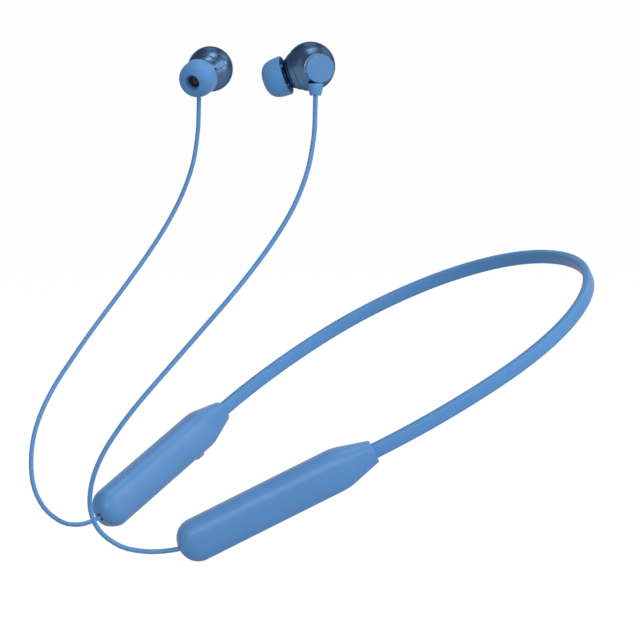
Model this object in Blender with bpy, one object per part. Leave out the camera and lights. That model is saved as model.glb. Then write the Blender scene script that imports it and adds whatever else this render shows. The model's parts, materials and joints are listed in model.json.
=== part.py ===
"""Neckband earphones as an assembly of separate pieces, in metres with +Z up.

The wearer looks along -Y and +X is the wearer's left. The origin is the middle of the
neckband's inner face at the nape. The neckband and both pods lie in one plane through the
origin that slopes down to the front, and the buds hang at ear height above the pods.
"""
import math

import bmesh
import bpy
from mathutils import Matrix, Vector

# Fits
GAP = 0.0003                      # between pieces that touch or are seated

# Neckband: a flat strap standing on edge, swept along its centreline
PLANE_TILT = math.radians(27.8)
BAND_HALF_WIDTH = 0.0609
BAND_BACK_DEPTH = 0.0663          # from the nape to the widest point
BAND_ROUNDNESS = 2.06             # superellipse power of the back
ARM_REACH = 0.0455                # from the widest point to the collars
POD_TOE_IN = math.radians(20.0)
BAND_HEIGHT = 0.0046
BAND_THICKNESS = 0.0028
BAND_EDGE_RADIUS = 0.0010
BAND_INSERT = 0.0040              # length held inside each collar
WIRE_DIAMETER = 0.0010
LEAD_DIAMETER = 0.0010
FLEX_OFFSET = 0.0460              # sideways place of the point each arm flexes about

# Pods
POD_LENGTH = 0.0652
POD_HEIGHT = 0.0130
POD_THICKNESS = 0.0095
POD_EDGE_RADIUS = 0.0040
POD_TIP_LENGTH = 0.0062
POD_TIP_FULLNESS = 2.4            # superellipse power of the tip seen from above
COLLAR_HEIGHT = 0.0068
COLLAR_THICKNESS = 0.0056
COLLAR_EDGE = 0.0004
SHOULDER_LENGTH = 0.0113
SHOULDER_BLEND = 0.0045
POD_WALL = 0.0013
ANCHOR_LENGTH = 0.0052

# Cable and the grommet it leaves the pod tip through
CABLE_DIAMETER = 0.00146
GROMMET_LIFT = math.radians(12.0)
GROMMET_WALL = 0.00022
GROMMET_RECESS = 0.0006           # front of the grommet behind the pod's tip
GROMMET_SHANK = 0.0025            # from the tip back to the inner flange
GROMMET_FLANGE = 0.0020
GROMMET_FLANGE_LENGTH = 0.0007

# Left pod contents
CELL_START = 0.0140
CELL_LENGTH = 0.0380
CELL_HEIGHT = 0.0066
CELL_THICKNESS = 0.0049
CELL_EDGE = 0.0006
FOAM_LENGTH = 0.0300
FOAM_HEIGHT = 0.0050
CELL_BOARD_HEIGHT = 0.0058
CELL_BOARD_THICKNESS = 0.0008

# Right pod contents
BOARD_START = 0.0130
BOARD_END_SHARE = 0.7745          # shares of the pod's length are counted from its collar
BOARD_HEIGHT = 0.0074
BOARD_THICKNESS = 0.0008
BOARD_OFFSET = 0.0011             # inner face of the board, outward from the pod's middle
SHIELD_START = 0.0220
SHIELD_HEIGHT = 0.0046
SHIELD_THICKNESS = 0.0014
SCREW_ROOM = 0.0023               # from each end of the board
SCREW_RISE = 0.0020
SCREW_RADIUS = 0.0005
SCREW_HEAD_RADIUS = 0.00095
SCREW_HEAD_HEIGHT = 0.0006
POST_RADIUS = 0.0013
POST_ROOT = 0.0005                # how far a post runs into the wall it stands on
SCREW_BITE = 0.0009               # length of thread in the post
KEY_SHARES = {"multi_function": 0.2650, "volume_down": 0.3558, "volume_up": 0.4601}
KEY_LENGTHS = {"multi_function": 0.0038, "volume_down": 0.0042, "volume_up": 0.0042}
KEY_PROUD = {"multi_function": 0.0010, "volume_down": 0.00025, "volume_up": 0.00025}
KEY_WIDTH = 0.0020
KEY_FLANGE = 0.0003               # how far the retaining flange stands out
KEY_FLANGE_HEIGHT = 0.0004
KEY_TRAVEL = 0.0003
KEY_STOP = 0.00005                # left between key and plunger at full travel
SWITCH_LENGTH = 0.0034
SWITCH_HEIGHT = 0.0016
SWITCH_DEPTH = 0.0016
PLUNGER_LENGTH = 0.0014
PLUNGER_HEIGHT = 0.0004
PLUNGER_DEPTH = 0.0009
USB_SHARE = 0.6626
USB_WIDTH = 0.00894
USB_THICKNESS = 0.0032
USB_DEPTH = 0.0073
USB_WALL = 0.0003
USB_FLOOR = 0.0012
USB_RECESS = 0.00035              # mouth of the socket behind the pod's skin
TONGUE_WIDTH = 0.0066
TONGUE_THICKNESS = 0.0007
TONGUE_LENGTH = 0.0045
MICROPHONE_SIZE = (0.0027, 0.0018, 0.00095)
MICROPHONE_RISE = 0.0009          # from the board's lower edge
MICROPHONE_PORT = 0.00045
LIGHT_SHARE = 0.7669
LIGHT_RADIUS = 0.0008

# Buds: a ball with a rear disc facing sideways and a nozzle turned forward and down
BUD_SPREAD = 0.03515              # the ball's centre, sideways from the middle
BUD_AHEAD = 0.1098                # in front of the nape
BUD_RISE = 0.06335                # above the nape
BUD_RADIUS = 0.0074
BUD_WALL = 0.0010
BUD_PARTING = 0.0021              # joint of front and housing, along the nozzle axis
NOZZLE_FORWARD = math.radians(50.5)
NOZZLE_DIP = math.radians(18.7)
CONE_FACE = 0.0071                # front face of the cone
CONE_FACE_RADIUS = 0.0042
CONE_STEP = 0.0001
CONE_RINGS = ((0.0033, 0.00652), (0.0046, 0.00578), (0.0060, 0.00492))
NOZZLE_RADIUS = 0.0025
NOZZLE_BORE = 0.0019
NOZZLE_LIP = 0.0002
NOZZLE_END = 0.0123
MESH_RECESS = 0.0003
MESH_THICKNESS = 0.0002
CAP_FORWARD = math.radians(12.7)  # turn of the rear disc towards the front
CAP_BACK = 0.0009                 # the disc's axis behind the ball's centre
CAP_DROP = 0.00075                # and below it
CAP_FACE = 0.0078                 # face of the disc from the ball's centre, along its axis
CAP_RADIUS = 0.0043
CAP_EDGE = 0.00025
CAP_FLANGE = 0.0006
CAP_SPIGOT = 0.0036
CAP_SPIGOT_DEPTH = 0.0046         # inner end of the spigot, from the ball's centre
CAP_FLOOR = 0.00085
BOSS_BASE = 0.0020                # foot of the boss under the disc
BOSS_BASE_RADIUS = 0.0057
LATCH_RADIUS = 0.0028
LATCH_THICKNESS = 0.0014
VENT_FRONT = (-0.944, -0.317, -0.086)
VENT_REAR = (-0.908, 0.297, 0.249)
VENT_HOLE_SHARE = 0.24            # place of the pin hole along the slot
VENT_WIDTH = 0.0014
VENT_DEPTH = 0.0007
VENT_HOLE = 0.00035

# Strain relief under the rear disc
RELIEF_OUT = 0.0058
RELIEF_FORWARD = 0.0014
RELIEF_TOP_RADIUS = 0.0024
RELIEF_BOTTOM_RADIUS = 0.0017
RELIEF_LENGTH = 0.0034
RELIEF_EDGE = 0.0002

# Driver, along the nozzle axis from the ball's centre
DRIVER_RADIUS = 0.0048
DRIVER_BODY_RADIUS = 0.0042
DRIVER_BACK = 0.0006
DRIVER_FRONT = 0.00305
DRIVER_FLANGE = 0.00065
DRIVER_WALL = 0.0004
DRIVER_VENT = 0.0006
DIAPHRAGM_DOME = 0.00045
DIAPHRAGM_THICKNESS = 0.00018
COIL_RADIUS = 0.0029
COIL_WALL = 0.0003
COIL_LENGTH = 0.0010
MAGNET_RADIUS = 0.0022
MAGNET_LENGTH = 0.0010

# Ear tip, along the nozzle axis
TIP_RADIUS = 0.0060
TIP_RIM = 0.0079
TIP_LENGTH = 0.0070
TIP_SKIN = 0.0007
TIP_STEM_WALL = 0.0006
TIP_STEM_END = 0.0083
TIP_MOUTH = 0.0025
TIP_THROAT = 0.0021

# Cable route of the left side, from the strain relief down to the pod tip
CABLE_ROUTE = (
    (0.0409, -0.1112, 0.0543), (0.0409, -0.1113, 0.0500), (0.0409, -0.1117, 0.0427),
    (0.0406, -0.1137, 0.0323), (0.0402, -0.1180, 0.0220), (0.0394, -0.1240, 0.0124),
    (0.0385, -0.1311, 0.0032), (0.0375, -0.1385, -0.0054), (0.0363, -0.1459, -0.0135),
    (0.0350, -0.1531, -0.0214), (0.0334, -0.1598, -0.0290), (0.0317, -0.1659, -0.0362),
    (0.0297, -0.1711, -0.0435), (0.0273, -0.1750, -0.0509), (0.0248, -0.1772, -0.0589),
    (0.0230, -0.1771, -0.0671), (0.0223, -0.1739, -0.0741), (0.0232, -0.1677, -0.0791),
    (0.0254, -0.1617, -0.0808), (0.0280, -0.1568, -0.0809), (0.0302, -0.1528, -0.0803),
    (0.0307, -0.1516, -0.0800),
)
CABLE_POINT_SPACING = 2.6         # in cable diameters

# Fineness of the meshes
BAND_STEPS = 18                   # each side of the nape
ARM_STEPS = 7
WIRE_SIDES = 6
ROUND_SIDES = 16
BALL_SIDES = 20
BALL_STEPS = 12
SIDES = {"left": 1, "right": -1}

BLUE = ("soft_blue", (0.090, 0.252, 0.540), 0.40, 0.0)
KEY_BLUE = ("key_blue", (0.086, 0.240, 0.513), 0.45, 0.0)
SLATE = ("slate_gloss", (0.078, 0.142, 0.258), 0.33, 1.0)
SILICONE = ("tip_silicone", (0.092, 0.257, 0.551), 0.42, 0.0)
STEEL = ("steel", (0.55, 0.56, 0.58), 0.30, 1.0)
MAGNET = ("magnet", (0.42, 0.42, 0.44), 0.28, 1.0)
COPPER = ("copper", (0.60, 0.26, 0.12), 0.35, 1.0)
BOARD = ("board", (0.010, 0.090, 0.050), 0.45, 0.0)
DARK = ("dark_plastic", (0.020, 0.020, 0.024), 0.50, 0.0)
FOIL = ("cell_wrap", (0.50, 0.52, 0.55), 0.35, 0.6)
FOAM = ("foam", (0.060, 0.060, 0.065), 0.90, 0.0)
FILM = ("diaphragm_film", (0.55, 0.45, 0.30), 0.30, 0.0)
CLEAR = ("light_pipe", (0.80, 0.85, 0.90), 0.20, 0.0)


def material(finish):
    """Return the Principled material of a finish, made on first use."""
    name, colour, roughness, metallic = finish
    found = bpy.data.materials.get(name)
    if found:
        return found
    made = bpy.data.materials.new(name)
    made.use_nodes = True
    shader = made.node_tree.nodes["Principled BSDF"]
    shader.inputs["Base Color"].default_value = (*colour, 1.0)
    shader.inputs["Roughness"].default_value = roughness
    shader.inputs["Metallic"].default_value = metallic
    return made


def carrier(name, place, parent=None):
    """Add an empty with the world matrix place, for pieces to hang on."""
    holder = bpy.data.objects.new(name, None)
    bpy.context.collection.objects.link(holder)
    holder.empty_display_size = 0.01
    if parent:
        holder.parent = parent
        holder.matrix_parent_inverse = parent.matrix_world.inverted()
    holder.matrix_world = place
    bpy.context.view_layer.update()
    return holder


def add(name, shape, finish, holder):
    """Turn a bmesh in world coordinates into a named object on its carrier."""
    shape.normal_update()
    bmesh.ops.recalc_face_normals(shape, faces=shape.faces)
    shape.transform(holder.matrix_world.inverted())
    mesh = bpy.data.meshes.new(name)
    shape.to_mesh(mesh)
    shape.free()
    mesh.shade_smooth()
    mesh.set_sharp_from_angle(angle=math.radians(35))
    piece = bpy.data.objects.new(name, mesh)
    bpy.context.collection.objects.link(piece)
    piece.parent = holder
    if finish:
        mesh.materials.append(material(finish))
    return piece


def combine(piece, shape, operation="DIFFERENCE"):
    """Cut a shape out of a piece, or join it on, with a Boolean modifier."""
    label = f"{piece.name}_{operation.lower()}_{len(piece.modifiers)}"
    tool = add(label, shape, None, piece.parent)
    tool.hide_render = True
    tool.display_type = "WIRE"
    change = piece.modifiers.new(label, "BOOLEAN")
    change.operation = operation
    change.solver = "EXACT"
    change.object = tool


def frame(origin, x_axis, z_axis):
    """World matrix with the given origin, z axis and, as near as can be, x axis."""
    z_unit = Vector(z_axis).normalized()
    y_unit = z_unit.cross(Vector(x_axis)).normalized()
    x_unit = y_unit.cross(z_unit)
    turned = Matrix((x_unit, y_unit, z_unit)).transposed().to_4x4()
    return Matrix.Translation(origin) @ turned


def rounded_rectangle(half_x, half_y, radius, steps):
    """Outline of a rectangle with round corners, counter-clockwise."""
    radius = min(radius, 0.98 * half_x, 0.98 * half_y)
    outline = []
    for quarter in range(4):
        across = 1 if quarter in (0, 3) else -1
        up = 1 if quarter in (0, 1) else -1
        for step in range(steps + 1):
            turn = (quarter + step / steps) * math.pi / 2
            outline.append((across * (half_x - radius) + radius * math.cos(turn),
                            up * (half_y - radius) + radius * math.sin(turn)))
    return outline


def loft(rings, closed=False):
    """Skin a row of rings of world points; a closed row comes back to its first ring."""
    shape = bmesh.new()
    loops = [[shape.verts.new(point) for point in ring] for ring in rings]
    pairs = list(zip(loops, loops[1:]))
    if closed:
        pairs.append((loops[-1], loops[0]))
    else:
        shape.faces.new(loops[0])
        shape.faces.new(loops[-1])
    for near, far in pairs:
        for index in range(len(near)):
            after = (index + 1) % len(near)
            shape.faces.new((near[index], near[after], far[after], far[index]))
    return shape


def lathe(profile, place, sides):
    """Turn (along, radius) points about the z axis of place. A profile that starts and ends
    on the axis is capped there, and any other is a closed outline round a bore."""
    shape = bmesh.new()
    rings = []
    for along, radius in profile:
        if radius == 0.0:
            rings.append([shape.verts.new(place @ Vector((0, 0, along)))])
            continue
        ring = []
        for side in range(sides):
            turn = 2 * math.pi * side / sides
            point = Vector((radius * math.cos(turn), radius * math.sin(turn), along))
            ring.append(shape.verts.new(place @ point))
        rings.append(ring)
    pairs = list(zip(rings, rings[1:]))
    if profile[0][1] > 0.0:
        pairs.append((rings[-1], rings[0]))
    for near, far in pairs:
        for index in range(sides):
            after = (index + 1) % sides
            corners = [near[index % len(near)], near[after % len(near)],
                       far[after % len(far)], far[index % len(far)]]
            shape.faces.new(list(dict.fromkeys(corners)))
    return shape


def block(place, low, high, edge=0.0):
    """Box between two corners in the frame of place, with an optional chamfer."""
    shape = bmesh.new()
    bmesh.ops.create_cube(shape, size=1.0)
    for vert in shape.verts:
        vert.co = Vector([low[i] if vert.co[i] < 0 else high[i] for i in range(3)])
    if edge:
        bmesh.ops.bevel(shape, geom=shape.edges[:], offset=edge, segments=1, affect="EDGES")
    shape.transform(place)
    return shape


def prism(place, outlines):
    """Loft of (height, outline) slices, each outline in the xy plane of place."""
    return loft([[place @ Vector((x, y, height)) for x, y in outline] for height, outline in outlines])


def arc(centre, radius, start, end, steps):
    """Points (along, radius) of a circle about the axis, between two places along it."""
    first = math.acos(max(-1.0, min(1.0, (start - centre) / radius)))
    last = math.acos(max(-1.0, min(1.0, (end - centre) / radius)))
    points = []
    for step in range(steps + 1):
        turn = first + (last - first) * step / steps
        height = radius * math.sin(turn)
        points.append((centre + radius * math.cos(turn), height if height > 1e-7 else 0.0))
    return points


# Neckband and what runs inside it
YOKE = Matrix.Rotation(PLANE_TILT, 4, "X")
BACK_Y = BAND_THICKNESS / 2
WIDEST_Y = BACK_Y - BAND_BACK_DEPTH
ARM_RADIUS = ARM_REACH / math.sin(POD_TOE_IN)
COLLAR_X = BAND_HALF_WIDTH - ARM_RADIUS * (1 - math.cos(POD_TOE_IN))
COLLAR_Y = WIDEST_Y - ARM_REACH
WIRE_RISE = GAP + WIRE_DIAMETER / 2
LEAD_DROP = GAP + LEAD_DIAMETER / 2
CHANNEL_TOP = WIRE_DIAMETER + 2 * GAP
CHANNEL_BOTTOM = LEAD_DIAMETER + 2 * GAP
CHANNEL_HALF = max(WIRE_DIAMETER, LEAD_DIAMETER) / 2 + GAP


def back_point(turn):
    """Centreline of the back of the band; turn runs from 0 at the nape to a quarter turn."""
    power = 2 / BAND_ROUNDNESS
    across = BAND_HALF_WIDTH * math.sin(turn) ** power
    ahead = BAND_BACK_DEPTH * (1 - math.cos(turn) ** power)
    return Vector((across, BACK_Y - ahead, 0))


def flex_point():
    """Place on the left half of the centreline that the arm flexes about."""
    turn = math.asin((FLEX_OFFSET / BAND_HALF_WIDTH) ** (BAND_ROUNDNESS / 2))
    return back_point(turn)


def pod_direction():
    return Vector((-math.sin(POD_TOE_IN), -math.cos(POD_TOE_IN), 0))


def band_path(reach):
    """Centreline from the right pod to the left pod, running reach into each collar."""
    half = [back_point(0.5 * math.pi * step / BAND_STEPS) for step in range(BAND_STEPS + 1)]
    for step in range(1, ARM_STEPS + 1):
        turn = POD_TOE_IN * step / ARM_STEPS
        half.append(Vector((BAND_HALF_WIDTH - ARM_RADIUS * (1 - math.cos(turn)),
                            WIDEST_Y - ARM_RADIUS * math.sin(turn), 0)))
    half.append(half[-1] + pod_direction() * reach)
    mirrored = [Vector((-point.x, point.y, 0)) for point in reversed(half[1:])]
    return mirrored + half


def sweep_rings(path, outline):
    """World rings of an (outward, up) outline carried along a path in the yoke plane."""
    rings = []
    for index, point in enumerate(path):
        before = path[max(index - 1, 0)]
        after = path[min(index + 1, len(path) - 1)]
        ahead = (after - before).normalized()
        outward = Vector((-ahead.y, ahead.x, 0))
        rings.append([YOKE @ (point + outward * x + Vector((0, 0, y))) for x, y in outline])
    return rings


def circle(radius, rise):
    """Outline of a round section whose centre is rise above the plane."""
    turns = [2 * math.pi * side / WIRE_SIDES for side in range(WIRE_SIDES)]
    return [(radius * math.cos(turn), rise + radius * math.sin(turn)) for turn in turns]


def make_neckband(root):
    skin = rounded_rectangle(BAND_THICKNESS / 2, BAND_HEIGHT / 2, BAND_EDGE_RADIUS, 2)
    middle = (CHANNEL_TOP - CHANNEL_BOTTOM) / 2
    half_height = (CHANNEL_TOP + CHANNEL_BOTTOM) / 2
    channel = [(x, y + middle) for x, y in rounded_rectangle(CHANNEL_HALF, half_height, GAP, 2)]
    path = band_path(BAND_INSERT)
    outer = sweep_rings(path, skin)
    inner = sweep_rings(path, channel)
    add("neckband", loft(outer + inner[::-1], closed=True), BLUE, root)
    core = band_path(BAND_INSERT + GAP + ANCHOR_LENGTH)
    wire = sweep_rings(core, circle(WIRE_DIAMETER / 2, WIRE_RISE))
    add("memory_wire", loft(wire), STEEL, root)
    lead = sweep_rings(core, circle(LEAD_DIAMETER / 2, -LEAD_DROP))
    add("neckband_lead", loft(lead), DARK, root)


# Pods: x runs along the pod from its collar, y across it, z up from the yoke plane
def pod_frame(side):
    ahead = pod_direction()
    ahead.x *= side
    across = Vector((0, 0, 1)).cross(ahead)
    turned = Matrix((ahead, across, (0, 0, 1))).transposed().to_4x4()
    return YOKE @ Matrix.Translation((side * COLLAR_X, COLLAR_Y, 0)) @ turned


def pod_half_size(along, collar, body, inset, fullness):
    """Half height or half thickness of the pod at a place along it, less an inset all round."""
    slope = (body - collar) / 2 / SHOULDER_LENGTH
    blend_start = SHOULDER_LENGTH - SHOULDER_BLEND / 2
    blend_end = SHOULDER_LENGTH + SHOULDER_BLEND / 2
    if along < blend_start:
        size = collar / 2 + slope * along
    elif along < blend_end:
        size = body / 2 - slope * (blend_end - along) ** 2 / (2 * SHOULDER_BLEND)
    else:
        size = body / 2
    size -= inset
    tip_start = POD_LENGTH - POD_TIP_LENGTH
    share = max(0.0, (along - tip_start) / (POD_TIP_LENGTH - inset))
    return size * max(0.0, 1 - share ** fullness) ** (1 / fullness)


def pod_ring(place, along, inset, shrink=0.0):
    half_height = pod_half_size(along, COLLAR_HEIGHT, POD_HEIGHT, inset, 2.0) - shrink
    half_thickness = pod_half_size(along, COLLAR_THICKNESS, POD_THICKNESS, inset, POD_TIP_FULLNESS) - shrink
    radius = max(POD_EDGE_RADIUS - inset, GAP)
    outline = rounded_rectangle(half_thickness, half_height, radius, 4)
    return [place @ Vector((along, y, z)) for y, z in outline]


def pod_solid(place, inset):
    """The pod's outer form, or with an inset the space inside its wall."""
    blend = (SHOULDER_LENGTH - SHOULDER_BLEND / 2, SHOULDER_LENGTH, SHOULDER_LENGTH + SHOULDER_BLEND / 2)
    stations = [blend[0] / 2, *blend]
    tip_start = POD_LENGTH - POD_TIP_LENGTH
    for degrees in (0, 18, 36, 52, 66, 77, 85):
        stations.append(tip_start + (POD_TIP_LENGTH - inset) * math.sin(math.radians(degrees)))
    if inset:
        rings = [pod_ring(place, inset, inset)]
    else:
        rings = [pod_ring(place, 0.0, 0.0, COLLAR_EDGE), pod_ring(place, COLLAR_EDGE, 0.0)]
    rings += [pod_ring(place, along, inset) for along in stations]
    return loft(rings)


def make_shell(name, place, keep, holder, openings):
    """One half of a pod, on the side of the middle that keep points to."""
    shell = add(name, pod_solid(place, 0.0), BLUE, holder)
    combine(shell, pod_solid(place, POD_WALL))
    near, far = sorted((keep * GAP / 2, -keep * POD_THICKNESS))
    room = POD_HEIGHT
    combine(shell, block(place, (-room, near, -room), (POD_LENGTH + room, far, room)))
    band_half = BAND_THICKNESS / 2 + GAP
    band_rise = BAND_HEIGHT / 2 + GAP
    combine(shell, block(place, (-POD_WALL, -band_half, -band_rise), (2 * POD_WALL, band_half, band_rise)))
    hole = CABLE_DIAMETER / 2 + GAP + GROMMET_WALL + GAP
    bore = grommet_frame(place)
    combine(shell, lathe(((-POD_TIP_LENGTH / 2, 0.0), (-POD_TIP_LENGTH / 2, hole),
                          (POD_WALL, hole), (POD_WALL, 0.0)), bore, ROUND_SIDES))
    for opening in openings:
        combine(shell, opening())
    return shell


def grommet_frame(place):
    """Frame at the pod's tip whose z axis is the way the cable leaves."""
    tip = place @ Vector((POD_LENGTH, 0, 0))
    leaving = Vector((math.cos(GROMMET_LIFT), 0, math.sin(GROMMET_LIFT)))
    return frame(tip, place.to_3x3() @ Vector((0, 1, 0)), place.to_3x3() @ leaving)


def make_grommet(name, place, holder):
    bore = CABLE_DIAMETER / 2 + GAP
    shank = bore + GROMMET_WALL
    flange_front = -GROMMET_SHANK
    flange_back = flange_front - GROMMET_FLANGE_LENGTH
    profile = ((-GROMMET_RECESS, bore), (-GROMMET_RECESS, shank), (flange_front, shank),
               (flange_front, GROMMET_FLANGE), (flange_back, GROMMET_FLANGE), (flange_back, bore))
    add(name, lathe(profile, grommet_frame(place), ROUND_SIDES), DARK, holder)


def make_anchor(name, place, holder):
    """Block that fills the collar behind the band's end and grips the wire and the lead."""
    start = BAND_INSERT + GAP
    end = start + ANCHOR_LENGTH
    near = pod_ring(place, start, POD_WALL + GAP)
    shift = place.to_3x3() @ Vector((ANCHOR_LENGTH, 0, 0))
    far = [point + shift for point in near]
    anchor = add(name, loft([near, far]), DARK, holder)
    combine(anchor, block(place, (start - POD_WALL, -CHANNEL_HALF, -CHANNEL_BOTTOM),
                          (end + POD_WALL, CHANNEL_HALF, CHANNEL_TOP)))


def make_left_pod(holder):
    place = pod_frame(SIDES["left"])
    make_shell("left_pod_outer", place, 1, holder, ())
    make_shell("left_pod_inner", place, -1, holder, ())
    make_anchor("left_band_anchor", place, holder)
    make_grommet("left_cable_grommet", place, holder)
    half_room = POD_THICKNESS / 2 - POD_WALL
    cell_in = GAP - half_room
    cell_out = cell_in + CELL_THICKNESS
    cell_end = CELL_START + CELL_LENGTH
    add("battery_cell", block(place, (CELL_START, cell_in, -CELL_HEIGHT / 2),
                              (cell_end, cell_out, CELL_HEIGHT / 2), CELL_EDGE), FOIL, holder)
    foam_start = CELL_START + (CELL_LENGTH - FOAM_LENGTH) / 2
    add("battery_foam", block(place, (foam_start, cell_out + GAP, -FOAM_HEIGHT / 2),
                              (foam_start + FOAM_LENGTH, half_room - GAP, FOAM_HEIGHT / 2)), FOAM, holder)
    board_start = cell_end + GAP
    add("battery_board", block(place, (board_start, cell_in + CELL_EDGE, -CELL_BOARD_HEIGHT / 2),
                               (board_start + CELL_BOARD_THICKNESS, cell_out - CELL_EDGE,
                                CELL_BOARD_HEIGHT / 2)), BOARD, holder)


# Right pod: y is inward there, so pieces are placed in a frame with y turned outward
BOARD_END = POD_LENGTH * BOARD_END_SHARE
USB_PLACE = POD_LENGTH * USB_SHARE
LIGHT_PLACE = POD_LENGTH * LIGHT_SHARE
KEY_PLACES = {name: POD_LENGTH * share for name, share in KEY_SHARES.items()}
LAST_KEY_END = KEY_PLACES["volume_up"] + KEY_LENGTHS["volume_up"] / 2
MICROPHONE_PLACE = (LAST_KEY_END + USB_PLACE - USB_WIDTH / 2) / 2
SHIELD_END = MICROPHONE_PLACE - MICROPHONE_SIZE[0] / 2 - GAP


def right_frame():
    """Right pod frame with x to the tip, y outward and z down, so that it stays right-handed."""
    return pod_frame(SIDES["right"]) @ Matrix.Rotation(math.pi, 4, "X")


def downward(place, along, outward=0.0):
    """Frame on the pod's middle plane with z pointing out of its lower edge."""
    return place @ Matrix.Translation((along, outward, 0))


def key_outline(length, spread):
    return rounded_rectangle(length / 2 + spread, KEY_WIDTH / 2 + spread, KEY_WIDTH / 2 + spread, 3)


def key_opening(place, name):
    spot = downward(place, KEY_PLACES[name])
    outline = key_outline(KEY_LENGTHS[name], GAP)
    return prism(spot, ((POD_HEIGHT / 2 - 2 * POD_WALL, outline), (POD_HEIGHT / 2 + POD_WALL, outline)))


def make_key(name, place, holder):
    skin = POD_HEIGHT / 2
    flange_out = skin - POD_WALL - GAP
    flange_in = flange_out - KEY_FLANGE_HEIGHT
    top = skin + KEY_PROUD[name]
    edge = min(GAP, KEY_PROUD[name]) / 2
    length = KEY_LENGTHS[name]
    wide = key_outline(length, GAP + KEY_FLANGE)
    plain = key_outline(length, 0.0)
    slices = ((flange_in, wide), (flange_out, wide), (flange_out, plain),
              (top - edge, plain), (top, key_outline(length, -edge)))
    add(f"{name}_key", prism(downward(place, KEY_PLACES[name]), slices), KEY_BLUE, holder)


def make_switch(name, place, holder):
    key_back = POD_HEIGHT / 2 - POD_WALL - GAP - KEY_FLANGE_HEIGHT
    tip = key_back - KEY_TRAVEL - KEY_STOP
    face = tip - PLUNGER_HEIGHT
    spot = downward(place, KEY_PLACES[name], BOARD_OFFSET - GAP - SWITCH_DEPTH / 2)
    body = rounded_rectangle(SWITCH_LENGTH / 2, SWITCH_DEPTH / 2, GAP / 2, 1)
    plunger = rounded_rectangle(PLUNGER_LENGTH / 2, PLUNGER_DEPTH / 2, GAP, 1)
    slices = ((face - SWITCH_HEIGHT, body), (face, body), (face, plunger), (tip, plunger))
    add(f"{name}_switch", prism(spot, slices), DARK, holder)


def usb_outline(width, thickness):
    return rounded_rectangle(width / 2, thickness / 2, thickness / 2, 3)


def usb_spot(place):
    return downward(place, USB_PLACE, BOARD_OFFSET - GAP - USB_THICKNESS / 2)


def usb_opening(place):
    outline = usb_outline(USB_WIDTH + 2 * GAP, USB_THICKNESS + 2 * GAP)
    return prism(usb_spot(place), ((POD_HEIGHT / 2 - 2 * POD_WALL, outline),
                                   (POD_HEIGHT / 2 + POD_WALL, outline)))


def make_usb_socket(place, holder):
    mouth = POD_HEIGHT / 2 - USB_RECESS
    back = mouth - USB_DEPTH
    floor = back + USB_FLOOR
    shell = usb_outline(USB_WIDTH, USB_THICKNESS)
    space = usb_outline(USB_WIDTH - 2 * USB_WALL, USB_THICKNESS - 2 * USB_WALL)
    tongue = usb_outline(TONGUE_WIDTH, TONGUE_THICKNESS)
    slices = ((back, shell), (mouth, shell), (mouth, space), (floor, space),
              (floor, tongue), (floor + TONGUE_LENGTH, tongue))
    add("usb_socket", prism(usb_spot(place), slices), STEEL, holder)


def pin_hole(place, along, radius):
    """Round opening through the pod's lower edge."""
    low, high = POD_HEIGHT / 2 - 2 * POD_WALL, POD_HEIGHT / 2 + POD_WALL
    return lathe(((low, 0.0), (low, radius), (high, radius), (high, 0.0)), downward(place, along), ROUND_SIDES)


def screw_frame(place, along):
    """Frame of a board screw; z points outward, from the board's inner face into its post."""
    origin = place @ Vector((along, BOARD_OFFSET, -SCREW_RISE))
    return frame(origin, place.to_3x3() @ Vector((1, 0, 0)), place.to_3x3() @ Vector((0, 1, 0)))


def make_right_board(place, shell, holder):
    post_start = BOARD_THICKNESS + GAP
    wall = POD_THICKNESS / 2 - POD_WALL - BOARD_OFFSET
    hole = SCREW_RADIUS + GAP
    shank_end = post_start + SCREW_BITE
    half_height = BOARD_HEIGHT / 2
    board = add("main_board", block(place, (BOARD_START, BOARD_OFFSET, -half_height),
                                    (BOARD_END, BOARD_OFFSET + BOARD_THICKNESS, half_height)), BOARD, holder)
    bore_end = shank_end + GAP
    post_end = wall + POST_ROOT
    post = ((post_end, 0.0), (post_end, POST_RADIUS), (post_start, POST_RADIUS),
            (post_start, hole), (bore_end, hole), (bore_end, 0.0))
    bore = ((-GAP, 0.0), (-GAP, hole), (post_start, hole), (post_start, 0.0))
    for number, along in enumerate((BOARD_START + SCREW_ROOM, BOARD_END - SCREW_ROOM), 1):
        spot = screw_frame(place, along)
        combine(shell, lathe(post, spot, ROUND_SIDES), "UNION")
        combine(board, lathe(bore, spot, ROUND_SIDES))
        head_back = -GAP - SCREW_HEAD_HEIGHT
        screw = ((head_back, 0.0), (head_back, SCREW_HEAD_RADIUS), (-GAP, SCREW_HEAD_RADIUS),
                 (-GAP, SCREW_RADIUS), (shank_end, SCREW_RADIUS), (shank_end, 0.0))
        add(f"board_screw_{number}", lathe(screw, spot, ROUND_SIDES // 2), STEEL, holder)
    face = BOARD_OFFSET - GAP
    shield_top = GAP - half_height
    add("radio_shield", block(place, (SHIELD_START, face - SHIELD_THICKNESS, shield_top),
                              (SHIELD_END, face, shield_top + SHIELD_HEIGHT), GAP),
        STEEL, holder)
    length, height, depth = MICROPHONE_SIZE
    low_edge = half_height - MICROPHONE_RISE
    add("microphone", block(place, (MICROPHONE_PLACE - length / 2, face - depth, low_edge - height),
                            (MICROPHONE_PLACE + length / 2, face, low_edge)), STEEL, holder)


def make_status_light(place, holder):
    skin = POD_HEIGHT / 2
    flange_out = skin - POD_WALL - GAP
    flange_in = flange_out - KEY_FLANGE_HEIGHT
    flange = LIGHT_RADIUS + GAP + KEY_FLANGE
    profile = ((flange_in, 0.0), (flange_in, flange), (flange_out, flange), (flange_out, LIGHT_RADIUS),
               (skin, LIGHT_RADIUS), (skin, 0.0))
    add("status_light", lathe(profile, downward(place, LIGHT_PLACE), ROUND_SIDES), CLEAR, holder)


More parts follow.
